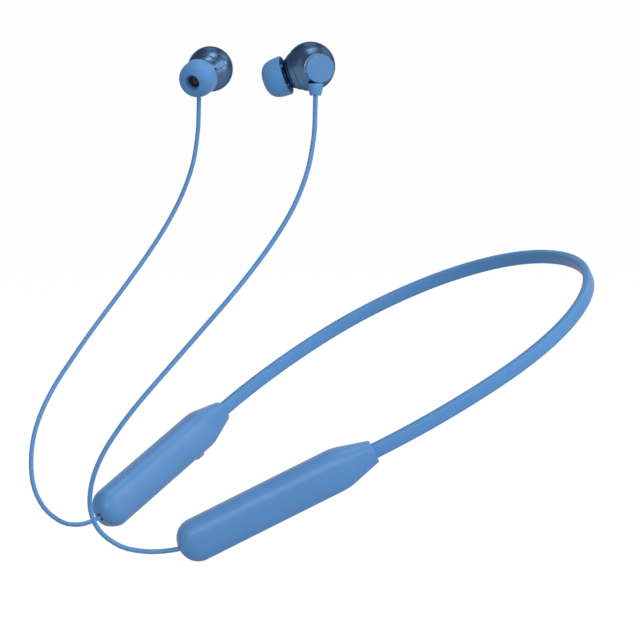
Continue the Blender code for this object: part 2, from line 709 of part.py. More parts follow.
def make_right_pod(holder, key_holders):
    solid = pod_frame(SIDES["right"])
    place = right_frame()
    openings = [lambda name=name: key_opening(place, name) for name in KEY_PLACES]
    openings.append(lambda: usb_opening(place))
    openings.append(lambda: pin_hole(place, MICROPHONE_PLACE, MICROPHONE_PORT))
    openings.append(lambda: pin_hole(place, LIGHT_PLACE, LIGHT_RADIUS + GAP))
    outer = make_shell("right_pod_outer", solid, -1, holder, openings)
    make_shell("right_pod_inner", solid, 1, holder, openings)
    make_anchor("right_band_anchor", solid, holder)
    make_grommet("right_cable_grommet", solid, holder)
    make_right_board(place, outer, holder)
    make_usb_socket(place, holder)
    make_status_light(place, holder)
    for name in KEY_PLACES:
        make_key(name, place, key_holders[name])
        make_switch(name, place, holder)


# Buds
def bud_centre(side):
    return Vector((side * BUD_SPREAD, -BUD_AHEAD, BUD_RISE))


def nozzle_frame(side):
    level = math.cos(NOZZLE_DIP)
    ahead = Vector((-side * level * math.cos(NOZZLE_FORWARD), -level * math.sin(NOZZLE_FORWARD),
                    -math.sin(NOZZLE_DIP)))
    return frame(bud_centre(side), (0, 0, 1), ahead)


def cap_frame(side):
    """Frame of the rear disc, level with the ball's centre; z points out of the disc."""
    outward = Vector((side * math.cos(CAP_FORWARD), -math.sin(CAP_FORWARD), 0))
    backward = Vector((side * math.sin(CAP_FORWARD), math.cos(CAP_FORWARD), 0))
    origin = bud_centre(side) + backward * CAP_BACK - Vector((0, 0, CAP_DROP))
    return frame(origin, (0, 0, 1), outward)


def relief_place(side):
    """Point on the cable's axis level with the top of the strain relief."""
    offset = Vector((side * RELIEF_OUT, -RELIEF_FORWARD, -(CAP_DROP + CAP_RADIUS + GAP)))
    return bud_centre(side) + offset


def relief_profile(spread):
    """Outline of the strain relief below its top, grown by spread."""
    bottom = -RELIEF_LENGTH
    return ((spread, 0.0), (spread, RELIEF_TOP_RADIUS + spread),
            (bottom - spread, RELIEF_BOTTOM_RADIUS + spread), (bottom - spread, 0.0))


def vent_ends(side):
    front = Vector((side * VENT_FRONT[0], *VENT_FRONT[1:])).normalized()
    rear = Vector((side * VENT_REAR[0], *VENT_REAR[1:])).normalized()
    return front, rear


def vent_slot(side):
    """Slot sunk in the ball's head side, running back from the cone."""
    front, rear = vent_ends(side)
    middle = (front + rear).normalized()
    half_length = (rear - front).length / 2 * BUD_RADIUS
    place = frame(bud_centre(side), rear - front, middle)
    outline = rounded_rectangle(half_length + VENT_WIDTH / 2, VENT_WIDTH / 2, VENT_WIDTH / 2, 3)
    return prism(place, ((BUD_RADIUS - VENT_DEPTH, outline), (BUD_RADIUS + VENT_WIDTH, outline)))


def vent_hole(side):
    """Pin hole in the slot's front part, through the wall of the front piece."""
    front, rear = vent_ends(side)
    place = frame(bud_centre(side), (0, 0, 1), front.lerp(rear, VENT_HOLE_SHARE).normalized())
    low, high = BUD_RADIUS - 3 * BUD_WALL, BUD_RADIUS + BUD_WALL
    profile = ((low, 0.0), (low, VENT_HOLE), (high, VENT_HOLE), (high, 0.0))
    return lathe(profile, place, ROUND_SIDES // 2)


def make_bud_shells(name, side, holder):
    axis = nozzle_frame(side)
    rear_end = BUD_PARTING - GAP / 2
    hollow = BUD_RADIUS - BUD_WALL
    ball = arc(0.0, BUD_RADIUS, -BUD_RADIUS, BUD_RADIUS, BALL_STEPS)
    housing = add(f"{name}_bud_housing", lathe(ball, axis, BALL_SIDES), SLATE, holder)
    seat = CAP_FACE - CAP_FLANGE - GAP
    boss = ((BOSS_BASE, 0.0), (BOSS_BASE, BOSS_BASE_RADIUS), (seat, CAP_RADIUS + GAP), (seat, 0.0))
    combine(housing, lathe(boss, cap_frame(side), BALL_SIDES), "UNION")
    combine(housing, lathe(arc(0.0, hollow, -hollow, hollow, BALL_STEPS), axis, BALL_SIDES))
    reach = 2 * BUD_RADIUS
    combine(housing, lathe(((rear_end, 0.0), (rear_end, reach), (reach, reach), (reach, 0.0)), axis, BALL_SIDES))
    opening = CAP_SPIGOT + GAP
    low = CAP_SPIGOT_DEPTH - BUD_WALL
    combine(housing, lathe(((low, 0.0), (low, opening), (reach, opening), (reach, 0.0)),
                           cap_frame(side), BALL_SIDES))
    relief = Matrix.Translation(relief_place(side))
    combine(housing, lathe(relief_profile(GAP), relief, ROUND_SIDES))
    combine(housing, vent_slot(side))

    front_start = BUD_PARTING + GAP / 2
    seat = DRIVER_FRONT + GAP
    driver_room = DRIVER_RADIUS + GAP
    profile = arc(0.0, BUD_RADIUS, front_start, CONE_RINGS[0][0], 2)[:-1]
    for along, radius in CONE_RINGS:
        profile += [(along - CONE_STEP, radius + CONE_STEP), (along, radius)]
    root = CONE_FACE + GAP
    profile += [(CONE_FACE, CONE_FACE_RADIUS), (CONE_FACE, NOZZLE_RADIUS + GAP), (root, NOZZLE_RADIUS),
                (NOZZLE_END - 3 * NOZZLE_LIP, NOZZLE_RADIUS),
                (NOZZLE_END - 2 * NOZZLE_LIP, NOZZLE_RADIUS + NOZZLE_LIP),
                (NOZZLE_END - NOZZLE_LIP, NOZZLE_RADIUS + NOZZLE_LIP), (NOZZLE_END, NOZZLE_RADIUS),
                (NOZZLE_END, NOZZLE_BORE), (CONE_FACE - BUD_WALL, NOZZLE_BORE),
                (seat, CONE_FACE_RADIUS), (seat, driver_room), (front_start, driver_room)]
    front = add(f"{name}_bud_front", lathe(profile, axis, BALL_SIDES), SLATE, holder)
    combine(front, vent_slot(side))
    combine(front, vent_hole(side))
    mesh_top = NOZZLE_END - MESH_RECESS
    mesh_bottom = mesh_top - MESH_THICKNESS
    mesh_radius = NOZZLE_BORE - GAP
    add(f"{name}_nozzle_mesh", lathe(((mesh_bottom, 0.0), (mesh_bottom, mesh_radius),
                                      (mesh_top, mesh_radius), (mesh_top, 0.0)), axis, ROUND_SIDES),
        STEEL, holder)


def make_bud_cap(name, side, holder):
    axis = cap_frame(side)
    flange = CAP_FACE - CAP_FLANGE
    pocket = LATCH_RADIUS + GAP
    floor = CAP_FACE - CAP_FLOOR
    profile = ((CAP_FACE, 0.0), (CAP_FACE, CAP_RADIUS - CAP_EDGE), (CAP_FACE - CAP_EDGE, CAP_RADIUS),
               (flange, CAP_RADIUS), (flange, CAP_SPIGOT), (CAP_SPIGOT_DEPTH, CAP_SPIGOT),
               (CAP_SPIGOT_DEPTH, pocket), (floor, pocket), (floor, 0.0))
    add(f"{name}_bud_cap", lathe(profile, axis, BALL_SIDES), BLUE, holder)
    top = floor - GAP
    bottom = top - LATCH_THICKNESS
    add(f"{name}_latch_magnet", lathe(((bottom, 0.0), (bottom, LATCH_RADIUS), (top, LATCH_RADIUS),
                                       (top, 0.0)), axis, ROUND_SIDES), MAGNET, holder)


def make_driver(name, side, holder):
    axis = nozzle_frame(side)
    ledge = DRIVER_FRONT - DRIVER_WALL
    floor = DRIVER_BACK + DRIVER_WALL
    room = DRIVER_BODY_RADIUS - DRIVER_WALL
    rim = DRIVER_RADIUS - DRIVER_WALL
    flange = DRIVER_FRONT - DRIVER_FLANGE
    basket = ((DRIVER_BACK, DRIVER_VENT), (DRIVER_BACK, DRIVER_BODY_RADIUS), (flange, DRIVER_BODY_RADIUS),
              (flange, DRIVER_RADIUS), (DRIVER_FRONT, DRIVER_RADIUS), (DRIVER_FRONT, rim),
              (ledge, rim), (ledge, room), (floor, room), (floor, DRIVER_VENT))
    add(f"{name}_driver_basket", lathe(basket, axis, ROUND_SIDES), STEEL, holder)
    film_back = ledge + GAP / 2
    film_front = film_back + DIAPHRAGM_THICKNESS
    edge = rim - GAP / 2
    crest = DIAPHRAGM_DOME
    film = ((film_back + crest, 0.0), (film_back + crest * 0.7, COIL_RADIUS * 0.5), (film_back, COIL_RADIUS),
            (film_back, edge), (film_front, edge), (film_front, COIL_RADIUS),
            (film_front + crest * 0.7, COIL_RADIUS * 0.5), (film_front + crest, 0.0))
    add(f"{name}_diaphragm", lathe(film, axis, ROUND_SIDES), FILM, holder)
    coil_front = film_back - GAP / 2
    coil_back = coil_front - COIL_LENGTH
    coil_hole = COIL_RADIUS - COIL_WALL
    add(f"{name}_voice_coil", lathe(((coil_back, coil_hole), (coil_back, COIL_RADIUS),
                                     (coil_front, COIL_RADIUS), (coil_front, coil_hole)), axis, ROUND_SIDES),
        COPPER, holder)
    magnet_back = floor + GAP
    magnet_front = magnet_back + MAGNET_LENGTH
    add(f"{name}_driver_magnet", lathe(((magnet_back, 0.0), (magnet_back, MAGNET_RADIUS),
                                        (magnet_front, MAGNET_RADIUS), (magnet_front, 0.0)), axis, ROUND_SIDES),
        MAGNET, holder)


def make_relief(name, side, holder):
    place = Matrix.Translation(relief_place(side))
    bore = CABLE_DIAMETER / 2 + GAP
    bottom = -RELIEF_LENGTH
    profile = ((0.0, bore), (0.0, RELIEF_TOP_RADIUS - RELIEF_EDGE), (-RELIEF_EDGE, RELIEF_TOP_RADIUS),
               (bottom + RELIEF_EDGE, RELIEF_BOTTOM_RADIUS), (bottom, RELIEF_BOTTOM_RADIUS - RELIEF_EDGE),
               (bottom, bore))
    add(f"{name}_strain_relief", lathe(profile, place, ROUND_SIDES), BLUE, holder)


def make_ear_tip(name, side, holder):
    apex = TIP_RIM + TIP_LENGTH
    inner = TIP_RADIUS - TIP_SKIN
    stem = NOZZLE_RADIUS + GAP
    stem_outer = stem + TIP_STEM_WALL
    stop = NOZZLE_END + GAP
    throat_end = (stop + apex) / 2
    crown = TIP_MOUTH + (TIP_RADIUS - TIP_MOUTH) * 0.22
    profile = [(apex - TIP_SKIN * 0.25, TIP_MOUTH), (apex, crown)]
    for degrees in (62, 40, 20, 0):
        turn = math.radians(degrees)
        profile.append((TIP_RIM + TIP_LENGTH * (0.38 + 0.60 * math.sin(turn)),
                        crown + (TIP_RADIUS - crown) * math.cos(turn)))
    profile += [(TIP_RIM, TIP_RADIUS), (TIP_RIM, inner)]
    for degrees in (0, 35, 62):
        turn = math.radians(degrees)
        profile.append((TIP_RIM + TIP_LENGTH * (0.38 + 0.42 * math.sin(turn)),
                        stem_outer + (inner - stem_outer) * math.cos(turn)))
    profile += [(TIP_RIM + TIP_LENGTH * 0.74, stem_outer), (TIP_STEM_END, stem_outer), (TIP_STEM_END, stem),
                (stop, stem), (stop, TIP_THROAT), (throat_end, TIP_THROAT)]
    add(f"{name}_ear_tip", lathe(profile, nozzle_frame(side), BALL_SIDES), SILICONE, holder)


# Cables
def smooth_route(points, spacing):
    """Evenly spaced points on a smooth curve through the route's own points."""
    dense = []
    for index in range(len(points) - 1):
        start, end = points[index], points[index + 1]
        before = points[index - 1] if index else start * 2 - end
        after = points[index + 2] if index + 2 < len(points) else end * 2 - start
        for step in range(12):
            t = step / 12
            dense.append(0.5 * (start * 2 + (end - before) * t
                                + (before * 2 - start * 5 + end * 4 - after) * t ** 2
                                + (start * 3 - before - end * 3 + after) * t ** 3))
    dense.append(points[-1])
    lengths = [0.0]
    for near, far in zip(dense, dense[1:]):
        lengths.append(lengths[-1] + (far - near).length)
    count = max(2, round(lengths[-1] / spacing))
    even = []
    index = 0
    for step in range(count + 1):
        target = lengths[-1] * step / count
        while index < len(dense) - 2 and lengths[index + 1] < target:
            index += 1
        share = (target - lengths[index]) / (lengths[index + 1] - lengths[index])
        even.append(dense[index].lerp(dense[index + 1], min(share, 1.0)))
    return even


def make_cable(name, side, holder):
    route = [Vector((side * x, y, z)) for x, y, z in CABLE_ROUTE]
    points = smooth_route(route, CABLE_POINT_SPACING * CABLE_DIAMETER)
    curve = bpy.data.curves.new(name, "CURVE")
    curve.dimensions = "3D"
    curve.bevel_depth = CABLE_DIAMETER / 2
    curve.bevel_resolution = 2
    curve.use_fill_caps = True
    spline = curve.splines.new("POLY")
    spline.points.add(len(points) - 1)
    to_holder = holder.matrix_world.inverted()
    for knot, point in zip(spline.points, points):
        knot.co = (*(to_holder @ point), 1.0)
    curve.materials.append(material(BLUE))
    cable = bpy.data.objects.new(name, curve)
    bpy.context.collection.objects.link(cable)
    cable.parent = holder


def main():
    for thing in list(bpy.data.objects):
        bpy.data.objects.remove(thing, do_unlink=True)
    root = carrier("yoke", YOKE)
    make_neckband(root)
    arms = {}
    for name, side in SIDES.items():
        flex = flex_point()
        flex.x *= side
        arms[name] = carrier(f"{name}_arm_flex", YOKE @ Matrix.Translation(flex), root)
    place = right_frame()
    keys = {name: carrier(f"{name}_key_slide", downward(place, along), arms["right"])
            for name, along in KEY_PLACES.items()}
    make_left_pod(arms["left"])
    make_right_pod(arms["right"], keys)
    for name, side in SIDES.items():
        make_cable(f"{name}_cable", side, arms[name])
        bud = carrier(f"{name}_bud_swivel", Matrix.Translation(relief_place(side)), arms[name])
        make_bud_shells(name, side, bud)
        make_bud_cap(name, side, bud)
        make_driver(name, side, bud)
        make_relief(name, side, bud)
        tip = carrier(f"{name}_tip_slide", nozzle_frame(side), bud)
        make_ear_tip(name, side, tip)


main()
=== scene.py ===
"""Looks of the neckband earphones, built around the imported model, in metres with +Z up.

The wearer looks along -Y and +X is the wearer's left. Smooth pieces stand for the plain solids
that show, and the pieces inside keep their solids and get better materials.
"""
import json
import math

import bmesh
import bpy
from mathutils import Matrix, Vector


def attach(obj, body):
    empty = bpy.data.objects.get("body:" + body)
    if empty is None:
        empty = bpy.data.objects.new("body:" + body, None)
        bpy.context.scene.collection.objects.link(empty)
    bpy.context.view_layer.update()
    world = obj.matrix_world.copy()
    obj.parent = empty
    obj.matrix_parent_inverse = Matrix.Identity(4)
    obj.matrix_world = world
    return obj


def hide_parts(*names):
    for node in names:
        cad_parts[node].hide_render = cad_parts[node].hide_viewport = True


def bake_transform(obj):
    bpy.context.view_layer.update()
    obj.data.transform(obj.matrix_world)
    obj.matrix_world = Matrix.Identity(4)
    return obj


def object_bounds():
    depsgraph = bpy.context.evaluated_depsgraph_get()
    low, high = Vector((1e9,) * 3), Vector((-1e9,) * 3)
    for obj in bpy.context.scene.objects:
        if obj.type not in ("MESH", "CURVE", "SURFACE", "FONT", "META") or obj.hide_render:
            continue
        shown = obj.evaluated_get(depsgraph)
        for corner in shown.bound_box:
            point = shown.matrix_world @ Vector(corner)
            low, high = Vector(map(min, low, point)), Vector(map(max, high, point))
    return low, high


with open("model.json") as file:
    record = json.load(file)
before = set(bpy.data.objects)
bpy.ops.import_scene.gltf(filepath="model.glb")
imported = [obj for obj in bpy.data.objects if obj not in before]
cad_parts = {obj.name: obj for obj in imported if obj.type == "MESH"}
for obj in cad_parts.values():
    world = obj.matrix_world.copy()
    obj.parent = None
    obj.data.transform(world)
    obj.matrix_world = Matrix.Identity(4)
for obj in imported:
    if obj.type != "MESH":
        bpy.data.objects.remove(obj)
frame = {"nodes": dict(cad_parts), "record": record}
cad_low, cad_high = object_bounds()
SIDES = {"left": 1, "right": -1}
GAP = 0.0003

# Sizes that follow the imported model
PLANE_TILT = math.radians(27.8)
BAND_HALF_WIDTH = 0.0609
BAND_BACK_DEPTH = 0.0663
BAND_ROUNDNESS = 2.06
ARM_REACH = 0.0455
POD_TOE_IN = math.radians(20.0)
BAND_HEIGHT = 0.0046
BAND_THICKNESS = 0.0028
BAND_EDGE_RADIUS = 0.0010
BAND_INSERT = 0.0040
CHANNEL_HALF = 0.0008
CHANNEL_RISE = 0.0016
CORE_RADIUS = 0.0005
CORE_RISE = 0.0008
CORE_REACH = 0.0095
POD_LENGTH = 0.0652
POD_HEIGHT = 0.0130
POD_THICKNESS = 0.0095
POD_TIP_LENGTH = 0.0062
POD_POWER = 2.9
COLLAR_HEIGHT = 0.0068
COLLAR_THICKNESS = 0.0056
COLLAR_EDGE = 0.0004
SHOULDER_LENGTH = 0.0113
SHOULDER_BLEND = 0.0045
POD_WALL = 0.0013
SEAM = 0.00003
CABLE_DIAMETER = 0.00146
CABLE_HOLE = 0.00125
BUD_CENTRE = Vector((0.03515, -0.1098, 0.06335))
BUD_RADIUS = 0.0074
BUD_WALL = 0.0010
BUD_PARTING = 0.0021
NOZZLE_FORWARD = math.radians(50.5)
NOZZLE_DIP = math.radians(18.7)
CAP_FORWARD = math.radians(12.7)
CAP_BACK = 0.0009
CAP_DROP = 0.00075
CAP_FACE = 0.0078
CAP_RADIUS = 0.0043
CAP_SPIGOT = 0.0036
RELIEF_OUT = 0.0058
RELIEF_FORWARD = 0.0014
RELIEF_LENGTH = 0.0034
TIP_RADIUS = 0.0060
TIP_RIM = 0.0079
TIP_LENGTH = 0.0070
TIP_FULLNESS = 3.2
KEY_SHARES = {"multi_function": 0.2650, "volume_down": 0.3558, "volume_up": 0.4601}
KEY_PLACES = {key: POD_LENGTH * share for key, share in KEY_SHARES.items()}
KEY_LENGTHS = {"multi_function": 0.0038, "volume_down": 0.0042, "volume_up": 0.0042}
KEY_PROUD = {"multi_function": 0.0010, "volume_down": 0.00025, "volume_up": 0.00025}
KEY_WIDTH = 0.0020
CABLE_ROUTE = (
    (0.0409, -0.1112, 0.0543), (0.0409, -0.1113, 0.0500), (0.0409, -0.1117, 0.0427),
    (0.0406, -0.1137, 0.0323), (0.0402, -0.1180, 0.0220), (0.0394, -0.1240, 0.0124),
    (0.0385, -0.1311, 0.0032), (0.0375, -0.1385, -0.0054), (0.0363, -0.1459, -0.0135),
    (0.0350, -0.1531, -0.0214), (0.0334, -0.1598, -0.0290), (0.0317, -0.1659, -0.0362),
    (0.0297, -0.1711, -0.0435), (0.0273, -0.1750, -0.0509), (0.0248, -0.1772, -0.0589),
    (0.0230, -0.1771, -0.0671), (0.0223, -0.1739, -0.0741), (0.0232, -0.1677, -0.0791),
    (0.0254, -0.1617, -0.0808), (0.0280, -0.1568, -0.0809), (0.0302, -0.1528, -0.0803),
    (0.0307, -0.1516, -0.0800),
)

# Camera and frame of the photo
PHOTO_SIZE = 637
FOCAL_PIXELS = 2400
CAMERA_PLACE = Vector((0.6752, -0.4456, 0.0533))
CAMERA_AHEAD = Vector((-0.8802, 0.4659, -0.0907))
CAMERA_RIGHT = Vector((0.4678, 0.8838, 0.0))
CAMERA_DOWN = Vector((0.0801, -0.0424, -0.9959))
PIXEL_SHIFT = (0.9, 0.1)


# Materials
TINT_STOPS = (0.3, 0.7)           # where the noise gives the dark and the light colour


def new_material(name):
    made = bpy.data.materials.new(name)
    made.use_nodes = True
    nodes = made.node_tree.nodes
    return made, nodes, made.node_tree.links, nodes["Principled BSDF"]


def noise(nodes, links, scale, detail):
    """Noise texture in the object's own metres."""
    place = nodes.new("ShaderNodeTexCoord")
    texture = nodes.new("ShaderNodeTexNoise")
    texture.inputs["Scale"].default_value = scale
    texture.inputs["Detail"].default_value = detail
    links.new(place.outputs["Object"], texture.inputs["Vector"])
    return texture


def tint(nodes, links, shader, texture, dark, light):
    """Vary the base colour a little with a texture."""
    ramp = nodes.new("ShaderNodeValToRGB")
    for element, position, colour in zip(ramp.color_ramp.elements, TINT_STOPS, (dark, light)):
        element.position = position
        element.color = (*colour, 1.0)
    links.new(texture.outputs["Fac"], ramp.inputs["Fac"])
    links.new(ramp.outputs["Color"], shader.inputs["Base Color"])


def roughen(nodes, links, shader, texture, low, high):
    """Vary the roughness between two values with a texture."""
    span = nodes.new("ShaderNodeMapRange")
    span.inputs["To Min"].default_value = low
    span.inputs["To Max"].default_value = high
    links.new(texture.outputs["Fac"], span.inputs["Value"])
    links.new(span.outputs["Result"], shader.inputs["Roughness"])


def bump(nodes, links, shader, texture, strength, depth):
    """Fine relief from a texture."""
    node = nodes.new("ShaderNodeBump")
    node.inputs["Strength"].default_value = strength
    node.inputs["Distance"].default_value = depth
    links.new(texture.outputs["Fac"], node.inputs["Height"])
    links.new(node.outputs["Normal"], shader.inputs["Normal"])


def shaded(colour, factor):
    return tuple(channel * factor for channel in colour)


def soft_material(name, colour, rough, grain, depth, specular=0.28):
    """Matte moulded surface with a fine grain and a slight change of colour."""
    made, nodes, links, shader = new_material(name)
    broad = noise(nodes, links, scale=90.0, detail=2.0)
    tint(nodes, links, shader, broad, dark=shaded(colour, 0.97), light=shaded(colour, 1.03))
    fine = noise(nodes, links, scale=grain, detail=4.0)
    roughen(nodes, links, shader, fine, low=rough - 0.05, high=rough + 0.05)
    bump(nodes, links, shader, fine, strength=0.25, depth=depth)
    shader.inputs["Specular IOR Level"].default_value = specular
    return made


def gloss_material(name, colour, rough, edge):
    """Metallic pearl lacquer with fine flakes in it, darker towards its edges."""
    made, nodes, links, shader = new_material(name)
    flake = noise(nodes, links, scale=9000.0, detail=2.0)
    tint(nodes, links, shader, flake, dark=shaded(colour, 0.96), light=shaded(colour, 1.04))
    haze = noise(nodes, links, scale=400.0, detail=3.0)
    roughen(nodes, links, shader, haze, low=rough - 0.01, high=rough + 0.01)
    shader.inputs["Metallic"].default_value = 1.0
    shader.inputs["Specular Tint"].default_value = (*edge, 1.0)
    return made


def metal_material(name, colour, rough, scale=3000.0):
    """Metal with fine streaks in its colour and its polish."""
    made, nodes, links, shader = new_material(name)
    streaks = noise(nodes, links, scale=scale, detail=5.0)
    tint(nodes, links, shader, streaks, dark=shaded(colour, 0.9), light=shaded(colour, 1.06))
    roughen(nodes, links, shader, streaks, low=rough - 0.06, high=rough + 0.06)
    shader.inputs["Metallic"].default_value = 1.0
    return made


def mesh_material(name):
    """Dark woven acoustic mesh."""
    made, nodes, links, shader = new_material(name)
    place = nodes.new("ShaderNodeTexCoord")
    weave = nodes.new("ShaderNodeTexVoronoi")
    weave.inputs["Scale"].default_value = 4500.0
    links.new(place.outputs["Object"], weave.inputs["Vector"])
    ramp = nodes.new("ShaderNodeValToRGB")
    ramp.color_ramp.elements[0].color = (0.002, 0.003, 0.004, 1.0)
    ramp.color_ramp.elements[1].color = (0.035, 0.042, 0.055, 1.0)
    links.new(weave.outputs["Distance"], ramp.inputs["Fac"])
    links.new(ramp.outputs["Color"], shader.inputs["Base Color"])
    shader.inputs["Metallic"].default_value = 0.6
    shader.inputs["Roughness"].default_value = 0.5
    return made


def board_material(name, mask, trace):
    """Solder mask with lighter copper traces under it."""
    made, nodes, links, shader = new_material(name)
    place = nodes.new("ShaderNodeTexCoord")
    lines = nodes.new("ShaderNodeTexBrick")
    lines.inputs["Scale"].default_value = 900.0
    lines.inputs["Color1"].default_value = (*mask, 1.0)
    lines.inputs["Color2"].default_value = (*shaded(mask, 0.85), 1.0)
    lines.inputs["Mortar"].default_value = (*trace, 1.0)
    links.new(place.outputs["Object"], lines.inputs["Vector"])
    links.new(lines.outputs["Color"], shader.inputs["Base Color"])
    shader.inputs["Roughness"].default_value = 0.4
    return made


# Each has a colour and a roughness, the soft ones also a grain scale and depth, the metals a streak scale
BLUE = (0.090, 0.252, 0.540)
MATERIALS = {
    "pod_shell": soft_material("pod_soft_touch", BLUE, 0.36, 6000.0, 0.00003),
    "band_silicone": soft_material("band_silicone", BLUE, 0.45, 5000.0, 0.00003, specular=0.18),
    "cable_sheath": soft_material("cable_sheath", shaded(BLUE, 1.02), 0.48, 7000.0, 0.00002),
    "grommet": soft_material("grommet_rubber", shaded(BLUE, 0.55), 0.6, 7000.0, 0.00002),
    "key_cap": soft_material("key_plastic", shaded(BLUE, 0.95), 0.45, 6000.0, 0.00002),
    "rear_disc": soft_material("disc_matte", shaded(BLUE, 0.88), 0.55, 8000.0, 0.00002),
    "tip_silicone": soft_material("tip_silicone", shaded(BLUE, 1.02), 0.42, 9000.0, 0.00001, specular=0.14),
    "bud_gloss": gloss_material("bud_pearl", (0.078, 0.142, 0.258), 0.33, (0.36, 0.39, 0.43)),
    "steel": metal_material("steel", (0.56, 0.57, 0.59), 0.32),
    "magnet": metal_material("nickel", (0.50, 0.50, 0.51), 0.25),
    "copper": metal_material("copper_wire", (0.60, 0.26, 0.12), 0.38, 9000.0),
    "mesh": mesh_material("acoustic_mesh"),
    "lead_sheath": soft_material("lead_sheath", (0.02, 0.02, 0.024), 0.55, 6000.0, 0.00002),
    "dark_plastic": soft_material("dark_plastic", (0.02, 0.02, 0.024), 0.5, 5000.0, 0.00002),
    "circuit_board": board_material("circuit_board", (0.008, 0.07, 0.04), (0.05, 0.16, 0.08)),
    "cell_wrap": metal_material("cell_pouch", (0.55, 0.56, 0.58), 0.40, 600.0),
    "foam": soft_material("foam", (0.05, 0.05, 0.055), 0.9, 1800.0, 0.0002),
    "film": soft_material("driver_film", (0.50, 0.42, 0.30), 0.3, 4000.0, 0.00002),
    "light_pipe": soft_material("light_pipe", (0.70, 0.76, 0.82), 0.2, 3000.0, 0.00001),
}


# Mesh helpers
SHARP_ANGLE = math.radians(40)
MERGE_DISTANCE = 5e-7
ON_AXIS = 1e-8
LARGEST_CORNER = 0.98             # share of a half side that a corner's radius may take
LARGEST_ROUNDING = 0.49           # share of an edge that one rounding may take
ROUTE_STEPS = 16                  # between two points of a route


def add_piece(name, shape, slot, body, *nodes):
    """Smooth mesh from a bmesh in the model's frame, standing for CAD nodes on a body."""
    shape.normal_update()
    bmesh.ops.recalc_face_normals(shape, faces=shape.faces)
    mesh = bpy.data.meshes.new(name)
    shape.to_mesh(mesh)
    shape.free()
    mesh.shade_smooth()
    mesh.set_sharp_from_angle(angle=SHARP_ANGLE)
    mesh.materials.append(MATERIALS[slot])
    piece = bpy.data.objects.new(name, mesh)
    bpy.context.collection.objects.link(piece)
    if body:
        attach(piece, body)
    if nodes:
        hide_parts(*nodes)
    return piece


def cut(piece, *shapes):
    """Cut shapes out of a piece one by one, and keep the cleaned result as its mesh."""
    for shape in shapes:
        shape.normal_update()
        bmesh.ops.recalc_face_normals(shape, faces=shape.faces)
        tool_mesh = bpy.data.meshes.new("cutter")
        shape.to_mesh(tool_mesh)
        shape.free()
        tool = bpy.data.objects.new("cutter", tool_mesh)
        bpy.context.collection.objects.link(tool)
        change = piece.modifiers.new("cut", "BOOLEAN")
        change.operation = "DIFFERENCE"
        change.solver = "EXACT"
        change.object = tool
        bpy.context.view_layer.update()
        result = piece.evaluated_get(bpy.context.evaluated_depsgraph_get())
        mesh = bpy.data.meshes.new_from_object(result)
        piece.modifiers.clear()
        cleaned = bmesh.new()
        cleaned.from_mesh(mesh)
        bmesh.ops.remove_doubles(cleaned, verts=cleaned.verts, dist=MERGE_DISTANCE)
        bmesh.ops.dissolve_degenerate(cleaned, edges=cleaned.edges, dist=MERGE_DISTANCE)
        cleaned.to_mesh(mesh)
        cleaned.free()
        old = piece.data
        piece.data = mesh
        bpy.data.meshes.remove(old)
        bpy.data.objects.remove(tool, do_unlink=True)
    piece.data.shade_smooth()
    piece.data.set_sharp_from_angle(angle=SHARP_ANGLE)


def frame_at(origin, x_axis, z_axis):
    """Frame with z along z_axis and x as near to x_axis as it can be."""
    z_unit = Vector(z_axis).normalized()
    y_unit = z_unit.cross(Vector(x_axis)).normalized()
    x_unit = y_unit.cross(z_unit)
    turned = Matrix((x_unit, y_unit, z_unit)).transposed().to_4x4()
    return Matrix.Translation(origin) @ turned


def loft(rings, closed=False):
    """Skin through equal rings, joined end to end or with a face at each end."""
    shape = bmesh.new()
    loops = [[shape.verts.new(point) for point in ring] for ring in rings]
    pairs = list(zip(loops, loops[1:]))
    if closed:
        pairs.append((loops[-1], loops[0]))
    else:
        shape.faces.new(loops[0])
        shape.faces.new(loops[-1])
    for near, far in pairs:
        for index in range(len(near)):
            after = (index + 1) % len(near)
            shape.faces.new((near[index], near[after], far[after], far[index]))
    return shape


def lathe(profile, place, sides):
    """Solid turned from (along, radius) points round the z axis of a frame."""
    shape = bmesh.new()
    rings = []
    for along, radius in profile:
        if radius < ON_AXIS:
            rings.append([shape.verts.new(place @ Vector((0, 0, along)))])
            continue
        turns = [2 * math.pi * side / sides for side in range(sides)]
        ring = [Vector((radius * math.cos(turn), radius * math.sin(turn), along)) for turn in turns]
        rings.append([shape.verts.new(place @ point) for point in ring])
    pairs = list(zip(rings, rings[1:]))
    if profile[0][1] > ON_AXIS:
        pairs.append((rings[-1], rings[0]))
    for near, far in pairs:
        for index in range(sides):
            after = (index + 1) % sides
            corners = [near[index % len(near)], near[after % len(near)],
                       far[after % len(far)], far[index % len(far)]]
            shape.faces.new(list(dict.fromkeys(corners)))
    return shape


def rounded_rectangle(half_x, half_y, radius, steps):
    """Outline of a rectangle with round corners."""
    radius = min(radius, LARGEST_CORNER * half_x, LARGEST_CORNER * half_y)
    outline = []
    for quarter in range(4):
        across = 1 if quarter in (0, 3) else -1
        up = 1 if quarter in (0, 1) else -1
        for step in range(steps + 1):
            turn = (quarter + step / steps) * math.pi / 2
            outline.append((across * (half_x - radius) + radius * math.cos(turn),
                            up * (half_y - radius) + radius * math.sin(turn)))
    return outline


def prism(place, slices):
    """Solid through (height, outline) slices of a frame."""
    return loft([[place @ Vector((x, y, height)) for x, y in outline] for height, outline in slices])


